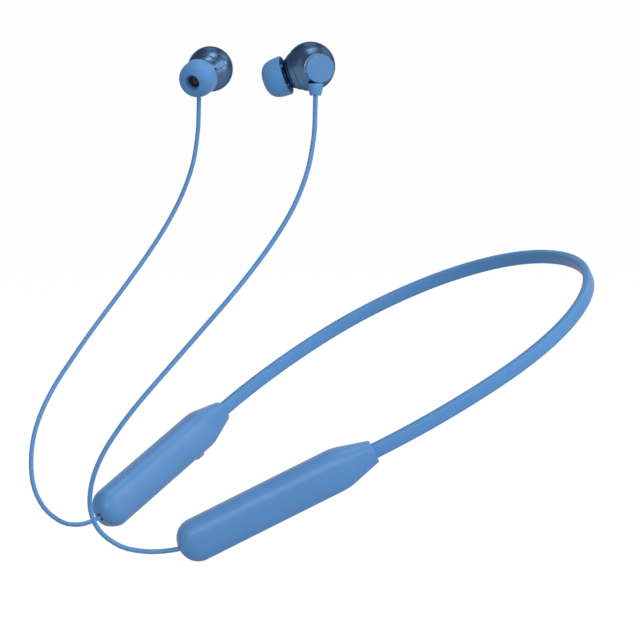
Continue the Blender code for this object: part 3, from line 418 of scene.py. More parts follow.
def rounded_profile(corners, steps):
    """Profile through (along, radius, rounding) corners, each rounded by an arc of that size."""
    count = len(corners)
    points = []
    for index, (along, radius, size) in enumerate(corners):
        here = Vector((along, radius))
        before = Vector(corners[index - 1][:2])
        after = Vector(corners[(index + 1) % count][:2])
        if size <= 0.0:
            points.append((along, radius))
            continue
        to_before = (before - here).normalized()
        to_after = (after - here).normalized()
        half = to_before.angle(to_after) / 2
        longest = LARGEST_ROUNDING * min((before - here).length, (after - here).length)
        reach = min(size / math.tan(half), longest)
        start, end = here + to_before * reach, here + to_after * reach
        for step in range(steps + 1):
            t = step / steps
            point = start * (1 - t) ** 2 + here * 2 * t * (1 - t) + end * t ** 2
            points.append((point.x, point.y))
    return points


def sphere_arc(radius, start, end, steps):
    """Points (along, radius) on a sphere between two places along its axis."""
    first = math.acos(max(-1.0, min(1.0, start / radius)))
    last = math.acos(max(-1.0, min(1.0, end / radius)))
    turns = [first + (last - first) * step / steps for step in range(steps + 1)]
    return [(radius * math.cos(turn), max(0.0, radius * math.sin(turn))) for turn in turns]


def smooth_route(points, spacing):
    """Evenly spaced points on a smooth curve through a route, and its length."""
    dense = []
    for index in range(len(points) - 1):
        start, end = points[index], points[index + 1]
        before = points[index - 1] if index else start * 2 - end
        after = points[index + 2] if index + 2 < len(points) else end * 2 - start
        for step in range(ROUTE_STEPS):
            t = step / ROUTE_STEPS
            dense.append(0.5 * (start * 2 + (end - before) * t
                                + (before * 2 - start * 5 + end * 4 - after) * t ** 2
                                + (start * 3 - before - end * 3 + after) * t ** 3))
    dense.append(points[-1])
    lengths = [0.0]
    for near, far in zip(dense, dense[1:]):
        lengths.append(lengths[-1] + (far - near).length)
    count = round(lengths[-1] / spacing)
    even = []
    index = 0
    for step in range(count + 1):
        target = lengths[-1] * step / count
        while index < len(dense) - 2 and lengths[index + 1] < target:
            index += 1
        share = (target - lengths[index]) / (lengths[index + 1] - lengths[index])
        even.append(dense[index].lerp(dense[index + 1], min(share, 1.0)))
    return even, lengths[-1]


# Neckband: two halves, one on each side
YOKE = Matrix.Rotation(PLANE_TILT, 4, "X")
BACK_Y = BAND_THICKNESS / 2
WIDEST_Y = BACK_Y - BAND_BACK_DEPTH
ARM_RADIUS = ARM_REACH / math.sin(POD_TOE_IN)
COLLAR_X = BAND_HALF_WIDTH - ARM_RADIUS * (1 - math.cos(POD_TOE_IN))
COLLAR_Y = WIDEST_Y - ARM_REACH
BACK_STEPS = 90
ARM_STEPS = 30
INSERT_STEPS = 3
CORE_SIDES = 10
BAND_CORNER_STEPS = 6


def half_path(reach):
    """Left half of the centreline with its directions, from the nape into the collar."""
    power = 2 / BAND_ROUNDNESS
    points = []
    for step in range(BACK_STEPS + 1):
        turn = 0.5 * math.pi * step / BACK_STEPS
        points.append(Vector((BAND_HALF_WIDTH * math.sin(turn) ** power,
                              BACK_Y - BAND_BACK_DEPTH * (1 - max(0.0, math.cos(turn)) ** power), 0)))
    for step in range(1, ARM_STEPS + 1):
        turn = POD_TOE_IN * step / ARM_STEPS
        points.append(Vector((BAND_HALF_WIDTH - ARM_RADIUS * (1 - math.cos(turn)),
                              WIDEST_Y - ARM_RADIUS * math.sin(turn), 0)))
    ahead = Vector((-math.sin(POD_TOE_IN), -math.cos(POD_TOE_IN), 0))
    for step in range(1, INSERT_STEPS + 1):
        points.append(Vector((COLLAR_X, COLLAR_Y, 0)) + ahead * reach * step / INSERT_STEPS)
    directions = [Vector((1, 0, 0))]
    for before, after in zip(points, points[2:]):
        directions.append((after - before).normalized())
    directions.append(ahead)
    return points, directions


def sweep(path, outline, side):
    """Rings of an outline along a path in the band's plane, on one side."""
    rings = []
    for point, ahead in zip(*path):
        outward = Vector((-ahead.y, ahead.x, 0))
        ring = []
        for x, y in outline:
            place = point + outward * x + Vector((0, 0, y))
            place.x *= side
            ring.append(YOKE @ place)
        rings.append(ring)
    return rings


def bend_with_arm(piece):
    """Bake the piece's placement into its mesh."""
    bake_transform(piece)


def make_band(name, side):
    skin = rounded_rectangle(BAND_THICKNESS / 2, BAND_HEIGHT / 2, BAND_EDGE_RADIUS, BAND_CORNER_STEPS)
    channel = rounded_rectangle(CHANNEL_HALF, CHANNEL_RISE, GAP, BAND_CORNER_STEPS)
    path = half_path(BAND_INSERT)
    shape = loft(sweep(path, skin, side) + sweep(path, channel, side)[::-1], closed=True)
    band = add_piece(f"{name}_band_half", shape, "band_silicone", None, "neckband")
    bend_with_arm(band)
    core = half_path(CORE_REACH)
    turns = [2 * math.pi * step / CORE_SIDES for step in range(CORE_SIDES)]
    cores = (("memory_wire", CORE_RISE, "steel"), ("neckband_lead", -CORE_RISE, "lead_sheath"))
    for part, rise, slot in cores:
        outline = [(CORE_RADIUS * math.cos(turn), rise + CORE_RADIUS * math.sin(turn)) for turn in turns]
        piece = add_piece(f"{name}_{part}_half", loft(sweep(core, outline, side)), slot, None, part)
        bend_with_arm(piece)


# Pods: x runs along the pod from its collar, y across it, z up from the band's plane
ARC_STEPS = 36                    # round half of a pod
POD_TIP_FULLNESS = 2.4            # superellipse power of the tip seen from above
POD_TIP_RISE = 2.0                # and seen from the side
SLOT_POWER = 4.5
SLOT_CLEARANCE = 0.00012          # between the band and the slot that it enters
SLOT_FLARE = 0.00028
SLOT_LIP = 0.00020
COLLAR_STEPS = 3
SHOULDER_PITCH = 0.0015
SHOULDER_STEPS = 5
BLEND_STEPS = 12
BODY_STEPS = 24
POD_TIP_STEPS = 21
HOLE_FLARE = 0.00012
HOLE_CREST = 0.00008
HOLE_DROP = 0.00005
INNER_REACH = 2.2 * POD_WALL      # ends of the inner wall behind the collar and the tip
INNER_TIP_DEGREES = (60, 40, 20, 0)
INNER_MIDDLE = 0.7


def pod_frame(side):
    ahead = Vector((-side * math.sin(POD_TOE_IN), -math.cos(POD_TOE_IN), 0))
    across = Vector((0, 0, 1)).cross(ahead)
    turned = Matrix((ahead, across, (0, 0, 1))).transposed().to_4x4()
    return YOKE @ Matrix.Translation((side * COLLAR_X, COLLAR_Y, 0)) @ turned


def pod_half_size(along, collar, body, inset, fullness):
    """Half the pod's thickness or height at a place along it."""
    slope = (body - collar) / 2 / SHOULDER_LENGTH
    blend_start = SHOULDER_LENGTH - SHOULDER_BLEND / 2
    blend_end = SHOULDER_LENGTH + SHOULDER_BLEND / 2
    if along < blend_start:
        size = collar / 2 + slope * along
    elif along < blend_end:
        size = body / 2 - slope * (blend_end - along) ** 2 / (2 * SHOULDER_BLEND)
    else:
        size = body / 2
    share = max(0.0, (along - POD_LENGTH + POD_TIP_LENGTH) / (POD_TIP_LENGTH - inset))
    return (size - inset) * max(0.0, 1 - share ** fullness) ** (1 / fullness)


def half_outline(half_thickness, half_height, power):
    """Right half of a superellipse, from its lowest to its highest point."""
    outline = []
    for step in range(ARC_STEPS + 1):
        turn = math.pi * (step / ARC_STEPS - 0.5)
        outline.append((half_thickness * abs(math.cos(turn)) ** (2 / power),
                        math.copysign(half_height * abs(math.sin(turn)) ** (2 / power), turn)))
    return outline


def pod_outline(along, inset, shrink=0.0):
    half_thickness = pod_half_size(along, COLLAR_THICKNESS, POD_THICKNESS, inset, POD_TIP_FULLNESS)
    half_height = pod_half_size(along, COLLAR_HEIGHT, POD_HEIGHT, inset, POD_TIP_RISE)
    return half_outline(half_thickness - shrink, half_height - shrink, POD_POWER)


def band_outline(spread):
    return half_outline(BAND_THICKNESS / 2 + spread, BAND_HEIGHT / 2 + spread, SLOT_POWER)


def pod_profile():
    """Rows of (along, outline) round the wall: out of the collar, over the skin, in at the tip."""
    slot = band_outline(SLOT_CLEARANCE)
    rows = [(2 * POD_WALL, slot), (SLOT_LIP, slot), (0.0, band_outline(SLOT_FLARE)),
            (0.0, pod_outline(0.0, 0.0, COLLAR_EDGE))]
    for step in range(1, COLLAR_STEPS + 1):
        turn = 0.5 * math.pi * step / COLLAR_STEPS
        rows.append((COLLAR_EDGE * (1 - math.cos(turn)),
                     pod_outline(COLLAR_EDGE, 0.0, COLLAR_EDGE * (1 - math.sin(turn)))))
    stations = [SHOULDER_PITCH * step for step in range(1, SHOULDER_STEPS + 1)]
    shoulder_end = stations[-1]
    blend = [step / BLEND_STEPS - 0.5 for step in range(BLEND_STEPS + 1)]
    stations += [SHOULDER_LENGTH + SHOULDER_BLEND * share for share in blend]
    start = stations[-1]
    end = POD_LENGTH - POD_TIP_LENGTH
    stations += [start + (end - start) * step / BODY_STEPS for step in range(1, BODY_STEPS)]
    rows += [(along, pod_outline(along, 0.0)) for along in stations]
    last_turn = math.acos((CABLE_HOLE + GAP) / (POD_HEIGHT / 2))
    for step in range(POD_TIP_STEPS + 1):
        along = end + POD_TIP_LENGTH * math.sin(last_turn * step / POD_TIP_STEPS)
        rows.append((along, pod_outline(along, 0.0)))
    rim = rows[-1][0]
    hole = half_outline(CABLE_HOLE, CABLE_HOLE, 2.0)
    flared = half_outline(CABLE_HOLE + HOLE_FLARE, CABLE_HOLE + HOLE_FLARE, 2.0)
    rows += [(rim + HOLE_CREST, flared), (rim - HOLE_DROP, hole), (POD_LENGTH - 2 * POD_WALL, hole)]
    for degrees in INNER_TIP_DEGREES:
        along = end + (POD_TIP_LENGTH - POD_WALL) * math.sin(math.radians(degrees))
        rows.append((min(along, POD_LENGTH - INNER_REACH), pod_outline(along, POD_WALL)))
    for along in (end * INNER_MIDDLE, start, SHOULDER_LENGTH, shoulder_end, INNER_REACH):
        rows.append((along, pod_outline(along, POD_WALL)))
    return rows


def make_pod_half(name, side, part, sign, openings=()):
    """One shell of a pod, on the side of the seam that sign points to."""
    place = pod_frame(side)
    shape = bmesh.new()
    grid = []
    for along, outline in pod_profile():
        grid.append([shape.verts.new(place @ Vector((along, sign * (SEAM + y), z))) for y, z in outline])
    count = len(grid)
    for row in range(count):
        near, far = grid[row], grid[(row + 1) % count]
        for step in range(ARC_STEPS):
            shape.faces.new((near[step], near[step + 1], far[step + 1], far[step]))
    for end in (0, ARC_STEPS):
        shape.faces.new([row[end] for row in grid])
    shell = add_piece(f"{name}_pod_{part}_shell", shape, "pod_shell", f"{name}_arm", f"{name}_pod_{part}")
    if openings:
        cut(shell, *[opening() for opening in openings])
    return shell


GROMMET_FRONT = 0.0009            # behind the pod's tip
GROMMET_SHANK = 0.0030
GROMMET_END = 0.0037
GROMMET_FLANGE = 0.0019
GROMMET_CLEARANCE = 0.0001
GROMMET_EDGE = 0.0001
GROMMET_LIP = 0.00008
GROMMET_SIDES = 40
GROMMET_ROUND_STEPS = 5


def make_grommet(name, side):
    place = pod_frame(side)
    tip = place @ Vector((POD_LENGTH, 0, 0))
    leaving = place.to_3x3() @ Vector((1, 0, 0))
    axis = frame_at(tip, place.to_3x3() @ Vector((0, 1, 0)), leaving)
    bore = CABLE_DIAMETER / 2 + GROMMET_CLEARANCE
    shank = CABLE_HOLE - GROMMET_CLEARANCE
    corners = ((-GROMMET_FRONT, bore, GROMMET_EDGE), (-GROMMET_FRONT, shank, GROMMET_LIP),
               (-GROMMET_SHANK, shank, 0.0), (-GROMMET_SHANK, GROMMET_FLANGE, GROMMET_EDGE),
               (-GROMMET_END, GROMMET_FLANGE, GROMMET_EDGE), (-GROMMET_END, bore, 0.0))
    ring = lathe(rounded_profile(corners, GROMMET_ROUND_STEPS), axis, GROMMET_SIDES)
    add_piece(f"{name}_grommet_ring", ring, "grommet", f"{name}_arm", f"{name}_cable_grommet")


def right_frame():
    """Right pod frame with x to the tip, y outward and z down."""
    return pod_frame(-1) @ Matrix.Rotation(math.pi, 4, "X")


SKIN = POD_HEIGHT / 2
CUT_START = SKIN - 2 * POD_WALL
CUT_END = SKIN + POD_WALL
FLANGE_OUT = SKIN - POD_WALL - GAP
FLANGE_HEIGHT = 0.0004
KEY_CORNER_STEPS = 8
KEY_CLEARANCE = 0.00012
KEY_FLANGE = 0.0006
KEY_ROUNDING = 0.9                # share of the smaller of the gap and the key's height
KEY_ROUND_STEPS = 5


def key_outline(length, spread):
    half_width = KEY_WIDTH / 2 + spread
    return rounded_rectangle(length / 2 + spread, half_width, half_width, KEY_CORNER_STEPS)


def through_wall(spot, outline):
    """Cutter through the right pod's lower edge."""
    return prism(spot, ((CUT_START, outline), (CUT_END, outline)))


def on_edge(along, across=0.0):
    return right_frame() @ Matrix.Translation((along, across, 0))


def key_opening(name):
    return through_wall(on_edge(KEY_PLACES[name]), key_outline(KEY_LENGTHS[name], KEY_CLEARANCE))


def make_key(name):
    top = SKIN + KEY_PROUD[name]
    edge = KEY_ROUNDING * min(GAP, KEY_PROUD[name])
    length = KEY_LENGTHS[name]
    flange = key_outline(length, KEY_FLANGE)
    slices = [(FLANGE_OUT - FLANGE_HEIGHT, flange), (FLANGE_OUT, flange),
              (FLANGE_OUT, key_outline(length, 0.0))]
    for step in range(KEY_ROUND_STEPS + 1):
        turn = 0.5 * math.pi * step / KEY_ROUND_STEPS
        outline = key_outline(length, -edge * (1 - math.cos(turn)))
        slices.append((top - edge + edge * math.sin(turn), outline))
    key = f"{name}_key"
    add_piece(f"{key}_cap", prism(on_edge(KEY_PLACES[name]), slices), "key_cap", key, key)


USB_PLACE = POD_LENGTH * 0.6626
USB_WIDTH = 0.00894
USB_THICKNESS = 0.0032
BOARD_OFFSET = 0.0011
USB_OFFSET = BOARD_OFFSET - GAP - USB_THICKNESS / 2
LAST_KEY_END = KEY_PLACES["volume_up"] + KEY_LENGTHS["volume_up"] / 2
MICROPHONE_PLACE = (LAST_KEY_END + USB_PLACE - USB_WIDTH / 2) / 2
USB_CLEARANCE = 0.0003
USB_RECESS = 0.0004               # mouth behind the pod's skin
USB_DEPTH = 0.0073
USB_BACK = 0.0012
USB_LIP = 0.0001
USB_WALL = 0.0003
USB_CORNER_STEPS = 8
TONGUE_HALF_WIDTH = 0.0033
TONGUE_HALF_THICKNESS = 0.00035
TONGUE_EDGE = 0.0001
TONGUE_LENGTH = 0.0045
LIGHT_PLACE = POD_LENGTH * 0.7669
LIGHT_RADIUS = 0.0008
LIGHT_CLEARANCE = 0.0001
LIGHT_CROWN = (0.0001, 0.00003)   # edge and shoulder of its domed face, below the skin
LIGHT_CROWN_SHARE = 0.85
LIGHT_SIDES = 32
MICROPHONE_HOLE = 0.00045
PIN_SIDES = 24


def usb_outline(spread):
    half_thickness = (USB_THICKNESS + spread) / 2
    return rounded_rectangle((USB_WIDTH + spread) / 2, half_thickness, half_thickness, USB_CORNER_STEPS)


def usb_spot():
    return on_edge(USB_PLACE, USB_OFFSET)


def usb_opening():
    return through_wall(usb_spot(), usb_outline(USB_CLEARANCE))


def make_usb():
    mouth = SKIN - USB_RECESS
    back = mouth - USB_DEPTH
    floor = back + USB_BACK
    shell = usb_outline(0.0)
    lip = usb_outline(-2 * USB_LIP)
    space = usb_outline(-2 * USB_WALL)
    tongue = rounded_rectangle(TONGUE_HALF_WIDTH, TONGUE_HALF_THICKNESS, TONGUE_EDGE, USB_CORNER_STEPS)
    slices = ((back, shell), (mouth - USB_LIP, shell), (mouth, lip), (mouth, space), (floor, space),
              (floor, tongue), (floor + TONGUE_LENGTH, tongue))
    add_piece("usb_shell", prism(usb_spot(), slices), "steel", "right_arm", "usb_socket")


def pin_opening(along, radius):
    profile = ((CUT_START, 0.0), (CUT_START, radius), (CUT_END, radius), (CUT_END, 0.0))
    return lathe(profile, on_edge(along), PIN_SIDES)


def make_light():
    flange = LIGHT_RADIUS + 2 * GAP
    back = FLANGE_OUT - FLANGE_HEIGHT
    edge, shoulder = LIGHT_CROWN
    profile = [(back, 0.0), (back, flange), (FLANGE_OUT, flange), (FLANGE_OUT, LIGHT_RADIUS),
               (SKIN - edge, LIGHT_RADIUS), (SKIN - shoulder, LIGHT_RADIUS * LIGHT_CROWN_SHARE),
               (SKIN, 0.0)]
    pipe = lathe(profile, on_edge(LIGHT_PLACE), LIGHT_SIDES)
    add_piece("status_light_pipe", pipe, "light_pipe", "right_arm", "status_light")


def make_pods():
    make_pod_half("left", 1, "outer", 1)
    make_pod_half("left", 1, "inner", -1)
    openings = [lambda key=key: key_opening(key) for key in KEY_PLACES]
    openings += [usb_opening, lambda: pin_opening(MICROPHONE_PLACE, MICROPHONE_HOLE),
                 lambda: pin_opening(LIGHT_PLACE, LIGHT_RADIUS + LIGHT_CLEARANCE)]
    make_pod_half("right", -1, "outer", -1, openings)
    make_pod_half("right", -1, "inner", 1, openings)
    for key in KEY_PLACES:
        make_key(key)
    make_usb()
    make_light()
    for name, side in SIDES.items():
        make_grommet(name, side)


# Buds
def bud_centre(side):
    return Vector((side * BUD_CENTRE.x, BUD_CENTRE.y, BUD_CENTRE.z))


def nozzle_frame(side):
    level = math.cos(NOZZLE_DIP)
    ahead = Vector((-side * level * math.cos(NOZZLE_FORWARD), -level * math.sin(NOZZLE_FORWARD),
                    -math.sin(NOZZLE_DIP)))
    return frame_at(bud_centre(side), (0, 0, 1), ahead)


def cap_frame(side):
    outward = Vector((side * math.cos(CAP_FORWARD), -math.sin(CAP_FORWARD), 0))
    backward = Vector((side * math.sin(CAP_FORWARD), math.cos(CAP_FORWARD), 0))
    return frame_at(bud_centre(side) + backward * CAP_BACK - Vector((0, 0, CAP_DROP)), (0, 0, 1), outward)


def relief_frame(side):
    offset = Vector((side * RELIEF_OUT, -RELIEF_FORWARD, -(CAP_DROP + CAP_RADIUS + GAP)))
    return Matrix.Translation(bud_centre(side) + offset)


VENT_FRONT = Vector((-0.944, -0.317, -0.086))
VENT_REAR = Vector((-0.908, 0.297, 0.249))
VENT_WIDTH = 0.0014
VENT_DEPTH = 0.0007
VENT_HOLE = 0.00035
VENT_HOLE_SHARE = 0.24
VENT_CORNER_STEPS = 8
VENT_HOLE_SIDES = 20


def vent_ends(side):
    front = Vector((side * VENT_FRONT.x, VENT_FRONT.y, VENT_FRONT.z)).normalized()
    rear = Vector((side * VENT_REAR.x, VENT_REAR.y, VENT_REAR.z)).normalized()
    return front, rear


def vent_slot(side):
    front, rear = vent_ends(side)
    half_width = VENT_WIDTH / 2
    half_length = (rear - front).length / 2 * BUD_RADIUS + half_width
    place = frame_at(bud_centre(side), rear - front, (front + rear).normalized())
    outline = rounded_rectangle(half_length, half_width, half_width, VENT_CORNER_STEPS)
    return prism(place, ((BUD_RADIUS - VENT_DEPTH, outline), (BUD_RADIUS + VENT_WIDTH, outline)))


def vent_hole(side):
    front, rear = vent_ends(side)
    place = frame_at(bud_centre(side), (0, 0, 1), front.lerp(rear, VENT_HOLE_SHARE).normalized())
    low = BUD_RADIUS - 3 * BUD_WALL
    high = BUD_RADIUS + BUD_WALL
    return lathe(((low, 0.0), (low, VENT_HOLE), (high, VENT_HOLE), (high, 0.0)), place, VENT_HOLE_SIDES)


BOSS_SEAT = 0.0069
BOSS_RADIUS = 0.0040
BOSS_FILLET = 0.0022
OPENING_CLEARANCE = 0.0001
REACH_LIMITS = (0.5 * BUD_RADIUS, 1.6 * BUD_RADIUS)
REACH_HALVINGS = 30
BUD_SIDES = 96
BUD_TURN = 0.37                   # share of a side that the columns are turned by
INNER_STEPS = 40
POLAR_BANDS = ((29, 0.8, 24), (49, 2.0, 21), (91, 4.0, 22))   # first angle, step and count, in degrees


def boss_distance(out, across, offset_square):
    """How far a point is outside the ball and its boss together, with a fillet between them."""
    ball = math.sqrt(offset_square) - BUD_RADIUS
    boss = max(across - BOSS_RADIUS, -out)
    share = max(0.0, min(1.0, 0.5 + 0.5 * (boss - ball) / BOSS_FILLET))
    blended = boss + (ball - boss) * share - BOSS_FILLET * share * (1 - share)
    return max(blended, out - BOSS_SEAT)


def outer_reach(ray, centre):
    """How far out the bud's skin is along a ray from the disc frame's origin."""
    near, far = REACH_LIMITS
    for _ in range(REACH_HALVINGS):
        middle = (near + far) / 2
        point = ray * middle
        outside = boss_distance(point.z, math.hypot(point.x, point.y), (point - centre).length_squared)
        near, far = (middle, far) if outside < 0 else (near, middle)
    return near


def bud_columns(centre):
    """Outline of the hollow ball at each step round the disc's axis, from the inner to the outer pole."""
    opening = CAP_SPIGOT + OPENING_CLEARANCE
    hollow = BUD_RADIUS - BUD_WALL
    polar = [math.degrees(math.atan2(opening, BOSS_SEAT))]
    for first_angle, pitch, count in POLAR_BANDS:
        polar += [first_angle + step * pitch for step in range(count)]
    columns = []
    for side in range(BUD_SIDES):
        around = 2 * math.pi * (side + BUD_TURN) / BUD_SIDES
        level = Vector((math.cos(around), math.sin(around), 0))
        outer = []
        for degrees in polar:
            turn = math.radians(degrees)
            ray = level * math.sin(turn) + Vector((0, 0, math.cos(turn)))
            outer.append(ray * outer_reach(ray, centre))
        lip = level * opening
        rise = centre.z + math.sqrt(hollow ** 2 - (lip.x - centre.x) ** 2 - (lip.y - centre.y) ** 2)
        first = math.atan2(opening, rise)
        inner = []
        for step in range(INNER_STEPS):
            turn = first + (math.pi - first) * step / INNER_STEPS
            ray = level * math.sin(turn) + Vector((0, 0, math.cos(turn)))
            across = ray.dot(centre)
            inner.append(ray * (across + math.sqrt(across ** 2 + hollow ** 2 - centre.length_squared)))
        columns.append(inner[::-1] + outer)
    return columns


def bud_shell(side):
    """Hollow ball of the bud, flowing into the short boss round the opening for the rear disc."""
    place = cap_frame(side)
    centre = place.inverted() @ bud_centre(side)
    hollow = BUD_RADIUS - BUD_WALL
    inner_pole = centre.z - math.sqrt(hollow ** 2 - centre.x ** 2 - centre.y ** 2)
    outer_pole = -outer_reach(Vector((0, 0, -1)), centre)
    shape = bmesh.new()
    poles = [shape.verts.new(place @ Vector((0, 0, reach))) for reach in (inner_pole, outer_pole)]
    lines = [[shape.verts.new(place @ point) for point in column] for column in bud_columns(centre)]
    for line, after in zip(lines, lines[1:] + lines[:1]):
        shape.faces.new((poles[0], line[0], after[0]))
        for index in range(len(line) - 1):
            shape.faces.new((line[index], line[index + 1], after[index + 1], after[index]))
        shape.faces.new((poles[1], line[-1], after[-1]))
    return shape


# Profiles of the bud's turned pieces, as (along, radius, rounding)
CONE_START = 0.0033
CONE_OUTSIDE = (
    (0.0040, 0.00632, 0.0005), (0.0042, 0.00604, 0.0003), (0.0050, 0.00570, 0.0030),
    (0.0059, 0.00520, 0.0005), (0.0061, 0.00488, 0.0003), (0.0067, 0.00462, 0.0015),
    (0.0072, 0.00428, 0.0004), (0.0072, 0.0028, 0.0002),
)
NOZZLE_OUTSIDE = (
    (0.0075, 0.0025, 0.0002), (0.0117, 0.0025, 0.0001), (0.0119, 0.0027, 0.0001),
    (0.0121, 0.0027, 0.0001), (0.0123, 0.0025, 0.0001),
)
FRONT_INSIDE = (
    (0.0123, 0.0019, 0.0001), (0.0061, 0.0019, 0.0), (0.00335, 0.0042, 0.0), (0.00335, 0.0051, 0.0),
)
DISC_BACK = BOSS_SEAT + 0.00008   # just clear of the boss
DISC_FLOOR = CAP_FACE - 0.00085
DISC_END = 0.0046
DISC_INSIDE = 0.0031
DISC_PROFILE = (
    (CAP_FACE, 0.0, 0.0), (CAP_FACE, CAP_RADIUS, 0.00025), (DISC_BACK, CAP_RADIUS, 0.0001),
    (DISC_BACK, CAP_SPIGOT, 0.0), (DISC_END, CAP_SPIGOT, 0.0001), (DISC_END, DISC_INSIDE, 0.0001),
    (DISC_FLOOR, DISC_INSIDE, 0.0), (DISC_FLOOR, 0.0, 0.0),
)
RELIEF_TOP = 0.00022
RELIEF_BORE = CABLE_DIAMETER / 2 + 0.00005
RELIEF_PROFILE = (
    (RELIEF_TOP, RELIEF_BORE, 0.0), (RELIEF_TOP, 0.0024, 0.0002), (-0.0009, 0.0023, 0.0010),
    (-RELIEF_LENGTH, 0.0017, 0.00025), (-RELIEF_LENGTH, RELIEF_BORE, 0.0001),
)
RELIEF_SIDES = 64
POCKET_RADII = (0.0025, 0.0018)   # of the strain relief's pocket, at its top and its end
CUT_REACH = 0.02                  # well past the bud
CUT_SIDES = 48
TIP_INSIDE = (
    (0.01300, 0.00215, 0.0003), (0.01258, 0.00215, 0.0001), (0.01258, 0.00276, 0.0),
    (0.00830, 0.00280, 0.0001), (0.00830, 0.00340, 0.0002), (0.01265, 0.00345, 0.0004),
    (0.01230, 0.00460, 0.0012), (0.01030, 0.00545, 0.0020), (TIP_RIM, 0.00545, 0.0002),
)
TIP_REACH = 0.955                 # share of the dome's length at which its mouth begins
TIP_EDGE = 0.0002
TIP_MOUTH = ((0.0002, 0.00270, 0.0003), (-0.0004, 0.00235, 0.0004))   # along from the end of the dome
TIP_STEPS = 18
TURNED_SIDES = 96
BALL_STEPS = 8
FRONT_ROUND_STEPS = 4
ROUND_STEPS = 6


def make_housing(name, side):
    housing = add_piece(f"{name}_bud_shell", bud_shell(side), "bud_gloss", f"{name}_bud",
                        f"{name}_bud_housing")
    parting = BUD_PARTING - SEAM / 2
    front = ((parting, 0.0), (parting, CUT_REACH), (CUT_REACH, CUT_REACH), (CUT_REACH, 0.0))
    end = -RELIEF_LENGTH - GAP
    pocket = ((GAP, 0.0), (GAP, POCKET_RADII[0]), (end, POCKET_RADII[1]), (end, 0.0))
    cut(housing, lathe(front, nozzle_frame(side), CUT_SIDES), lathe(pocket, relief_frame(side), CUT_SIDES),
        vent_slot(side))


def make_front(name, side):
    start = BUD_PARTING + SEAM / 2
    ball = sphere_arc(BUD_RADIUS, start, CONE_START, BALL_STEPS)
    corners = [(*ball[-1], 0.0), *CONE_OUTSIDE, *NOZZLE_OUTSIDE, *FRONT_INSIDE]
    corners += [(start, FRONT_INSIDE[-1][1], 0.0), (*ball[0], 0.0)]
    rounded = rounded_profile(corners, FRONT_ROUND_STEPS)
    nose = lathe(ball + rounded[1:-1], nozzle_frame(side), TURNED_SIDES)
    front = add_piece(f"{name}_bud_nose", nose, "bud_gloss", f"{name}_bud", f"{name}_bud_front")
    cut(front, vent_slot(side), vent_hole(side))


def make_disc(name, side):
    disc = lathe(rounded_profile(DISC_PROFILE, ROUND_STEPS), cap_frame(side), TURNED_SIDES)
    add_piece(f"{name}_rear_disc", disc, "rear_disc", f"{name}_bud", f"{name}_bud_cap")


def make_relief(name, side):
    boot = lathe(rounded_profile(RELIEF_PROFILE, ROUND_STEPS), relief_frame(side), RELIEF_SIDES)
    add_piece(f"{name}_relief_boot", boot, "cable_sheath", f"{name}_bud", f"{name}_strain_relief")


def make_tip(name, side):
    tip = [(TIP_RIM, TIP_RADIUS, TIP_EDGE)]
    for step in range(1, TIP_STEPS + 1):
        share = TIP_REACH * math.sin(math.pi / 2 * step / TIP_STEPS)
        radius = TIP_RADIUS * (1 - share ** TIP_FULLNESS) ** (1 / TIP_FULLNESS)
        tip.append((TIP_RIM + TIP_LENGTH * share, radius, 0.0))
    mouth = tip[-1][0]
    tip += [(mouth + along, radius, rounding) for along, radius, rounding in TIP_MOUTH]
    tip += TIP_INSIDE
    dome = lathe(rounded_profile(tip, ROUND_STEPS), nozzle_frame(side), TURNED_SIDES)
    add_piece(f"{name}_tip_dome", dome, "tip_silicone", f"{name}_tip", f"{name}_ear_tip")


def make_bud(name, side):
    make_housing(name, side)
    make_front(name, side)
    make_disc(name, side)
    make_relief(name, side)
    make_tip(name, side)


# Cables
CABLE_INSERT = 0.0020             # length inside the strain relief and inside the pod
CABLE_SPACING = 0.0022
CABLE_ROUNDNESS = 5


def make_cable(name, side):
    """Cable from inside the strain relief to inside the pod's tip."""
    points = [Vector(point) for point in CABLE_ROUTE]
    place = pod_frame(1)
    tip = place @ Vector((POD_LENGTH, 0, 0))
    inward = (place.to_3x3() @ Vector((-1, 0, 0))).normalized()
    points = [points[0] + Vector((0, 0, CABLE_INSERT))] + points + [tip + inward * CABLE_INSERT]
    points = [Vector((side * point.x, point.y, point.z)) for point in points]
    even, length = smooth_route(points, CABLE_SPACING)
    curve = bpy.data.curves.new(f"{name}_cable_sheath", "CURVE")
    curve.dimensions = "3D"
    curve.bevel_depth = CABLE_DIAMETER / 2
    curve.bevel_resolution = CABLE_ROUNDNESS
    curve.use_fill_caps = True
    spline = curve.splines.new("POLY")
    spline.points.add(len(even) - 1)
    for knot, point in zip(spline.points, even):
        knot.co = (*point, 1.0)
    spline.use_smooth = True
    curve.materials.append(MATERIALS["cable_sheath"])
    cable = bpy.data.objects.new(f"{name}_cable_sheath", curve)
    bpy.context.collection.objects.link(cable)
    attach(cable, f"{name}_arm")
    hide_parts(f"{name}_cable")


def dress_inner_nodes():
    """Give every solid that stays a material of its slot."""
    slots = {entry["node"]: entry["material_slot"] for entry in frame["record"]["subparts"]}
    for name, node in frame["nodes"].items():
        node.data.materials.clear()
        node.data.materials.append(MATERIALS[slots[name]])


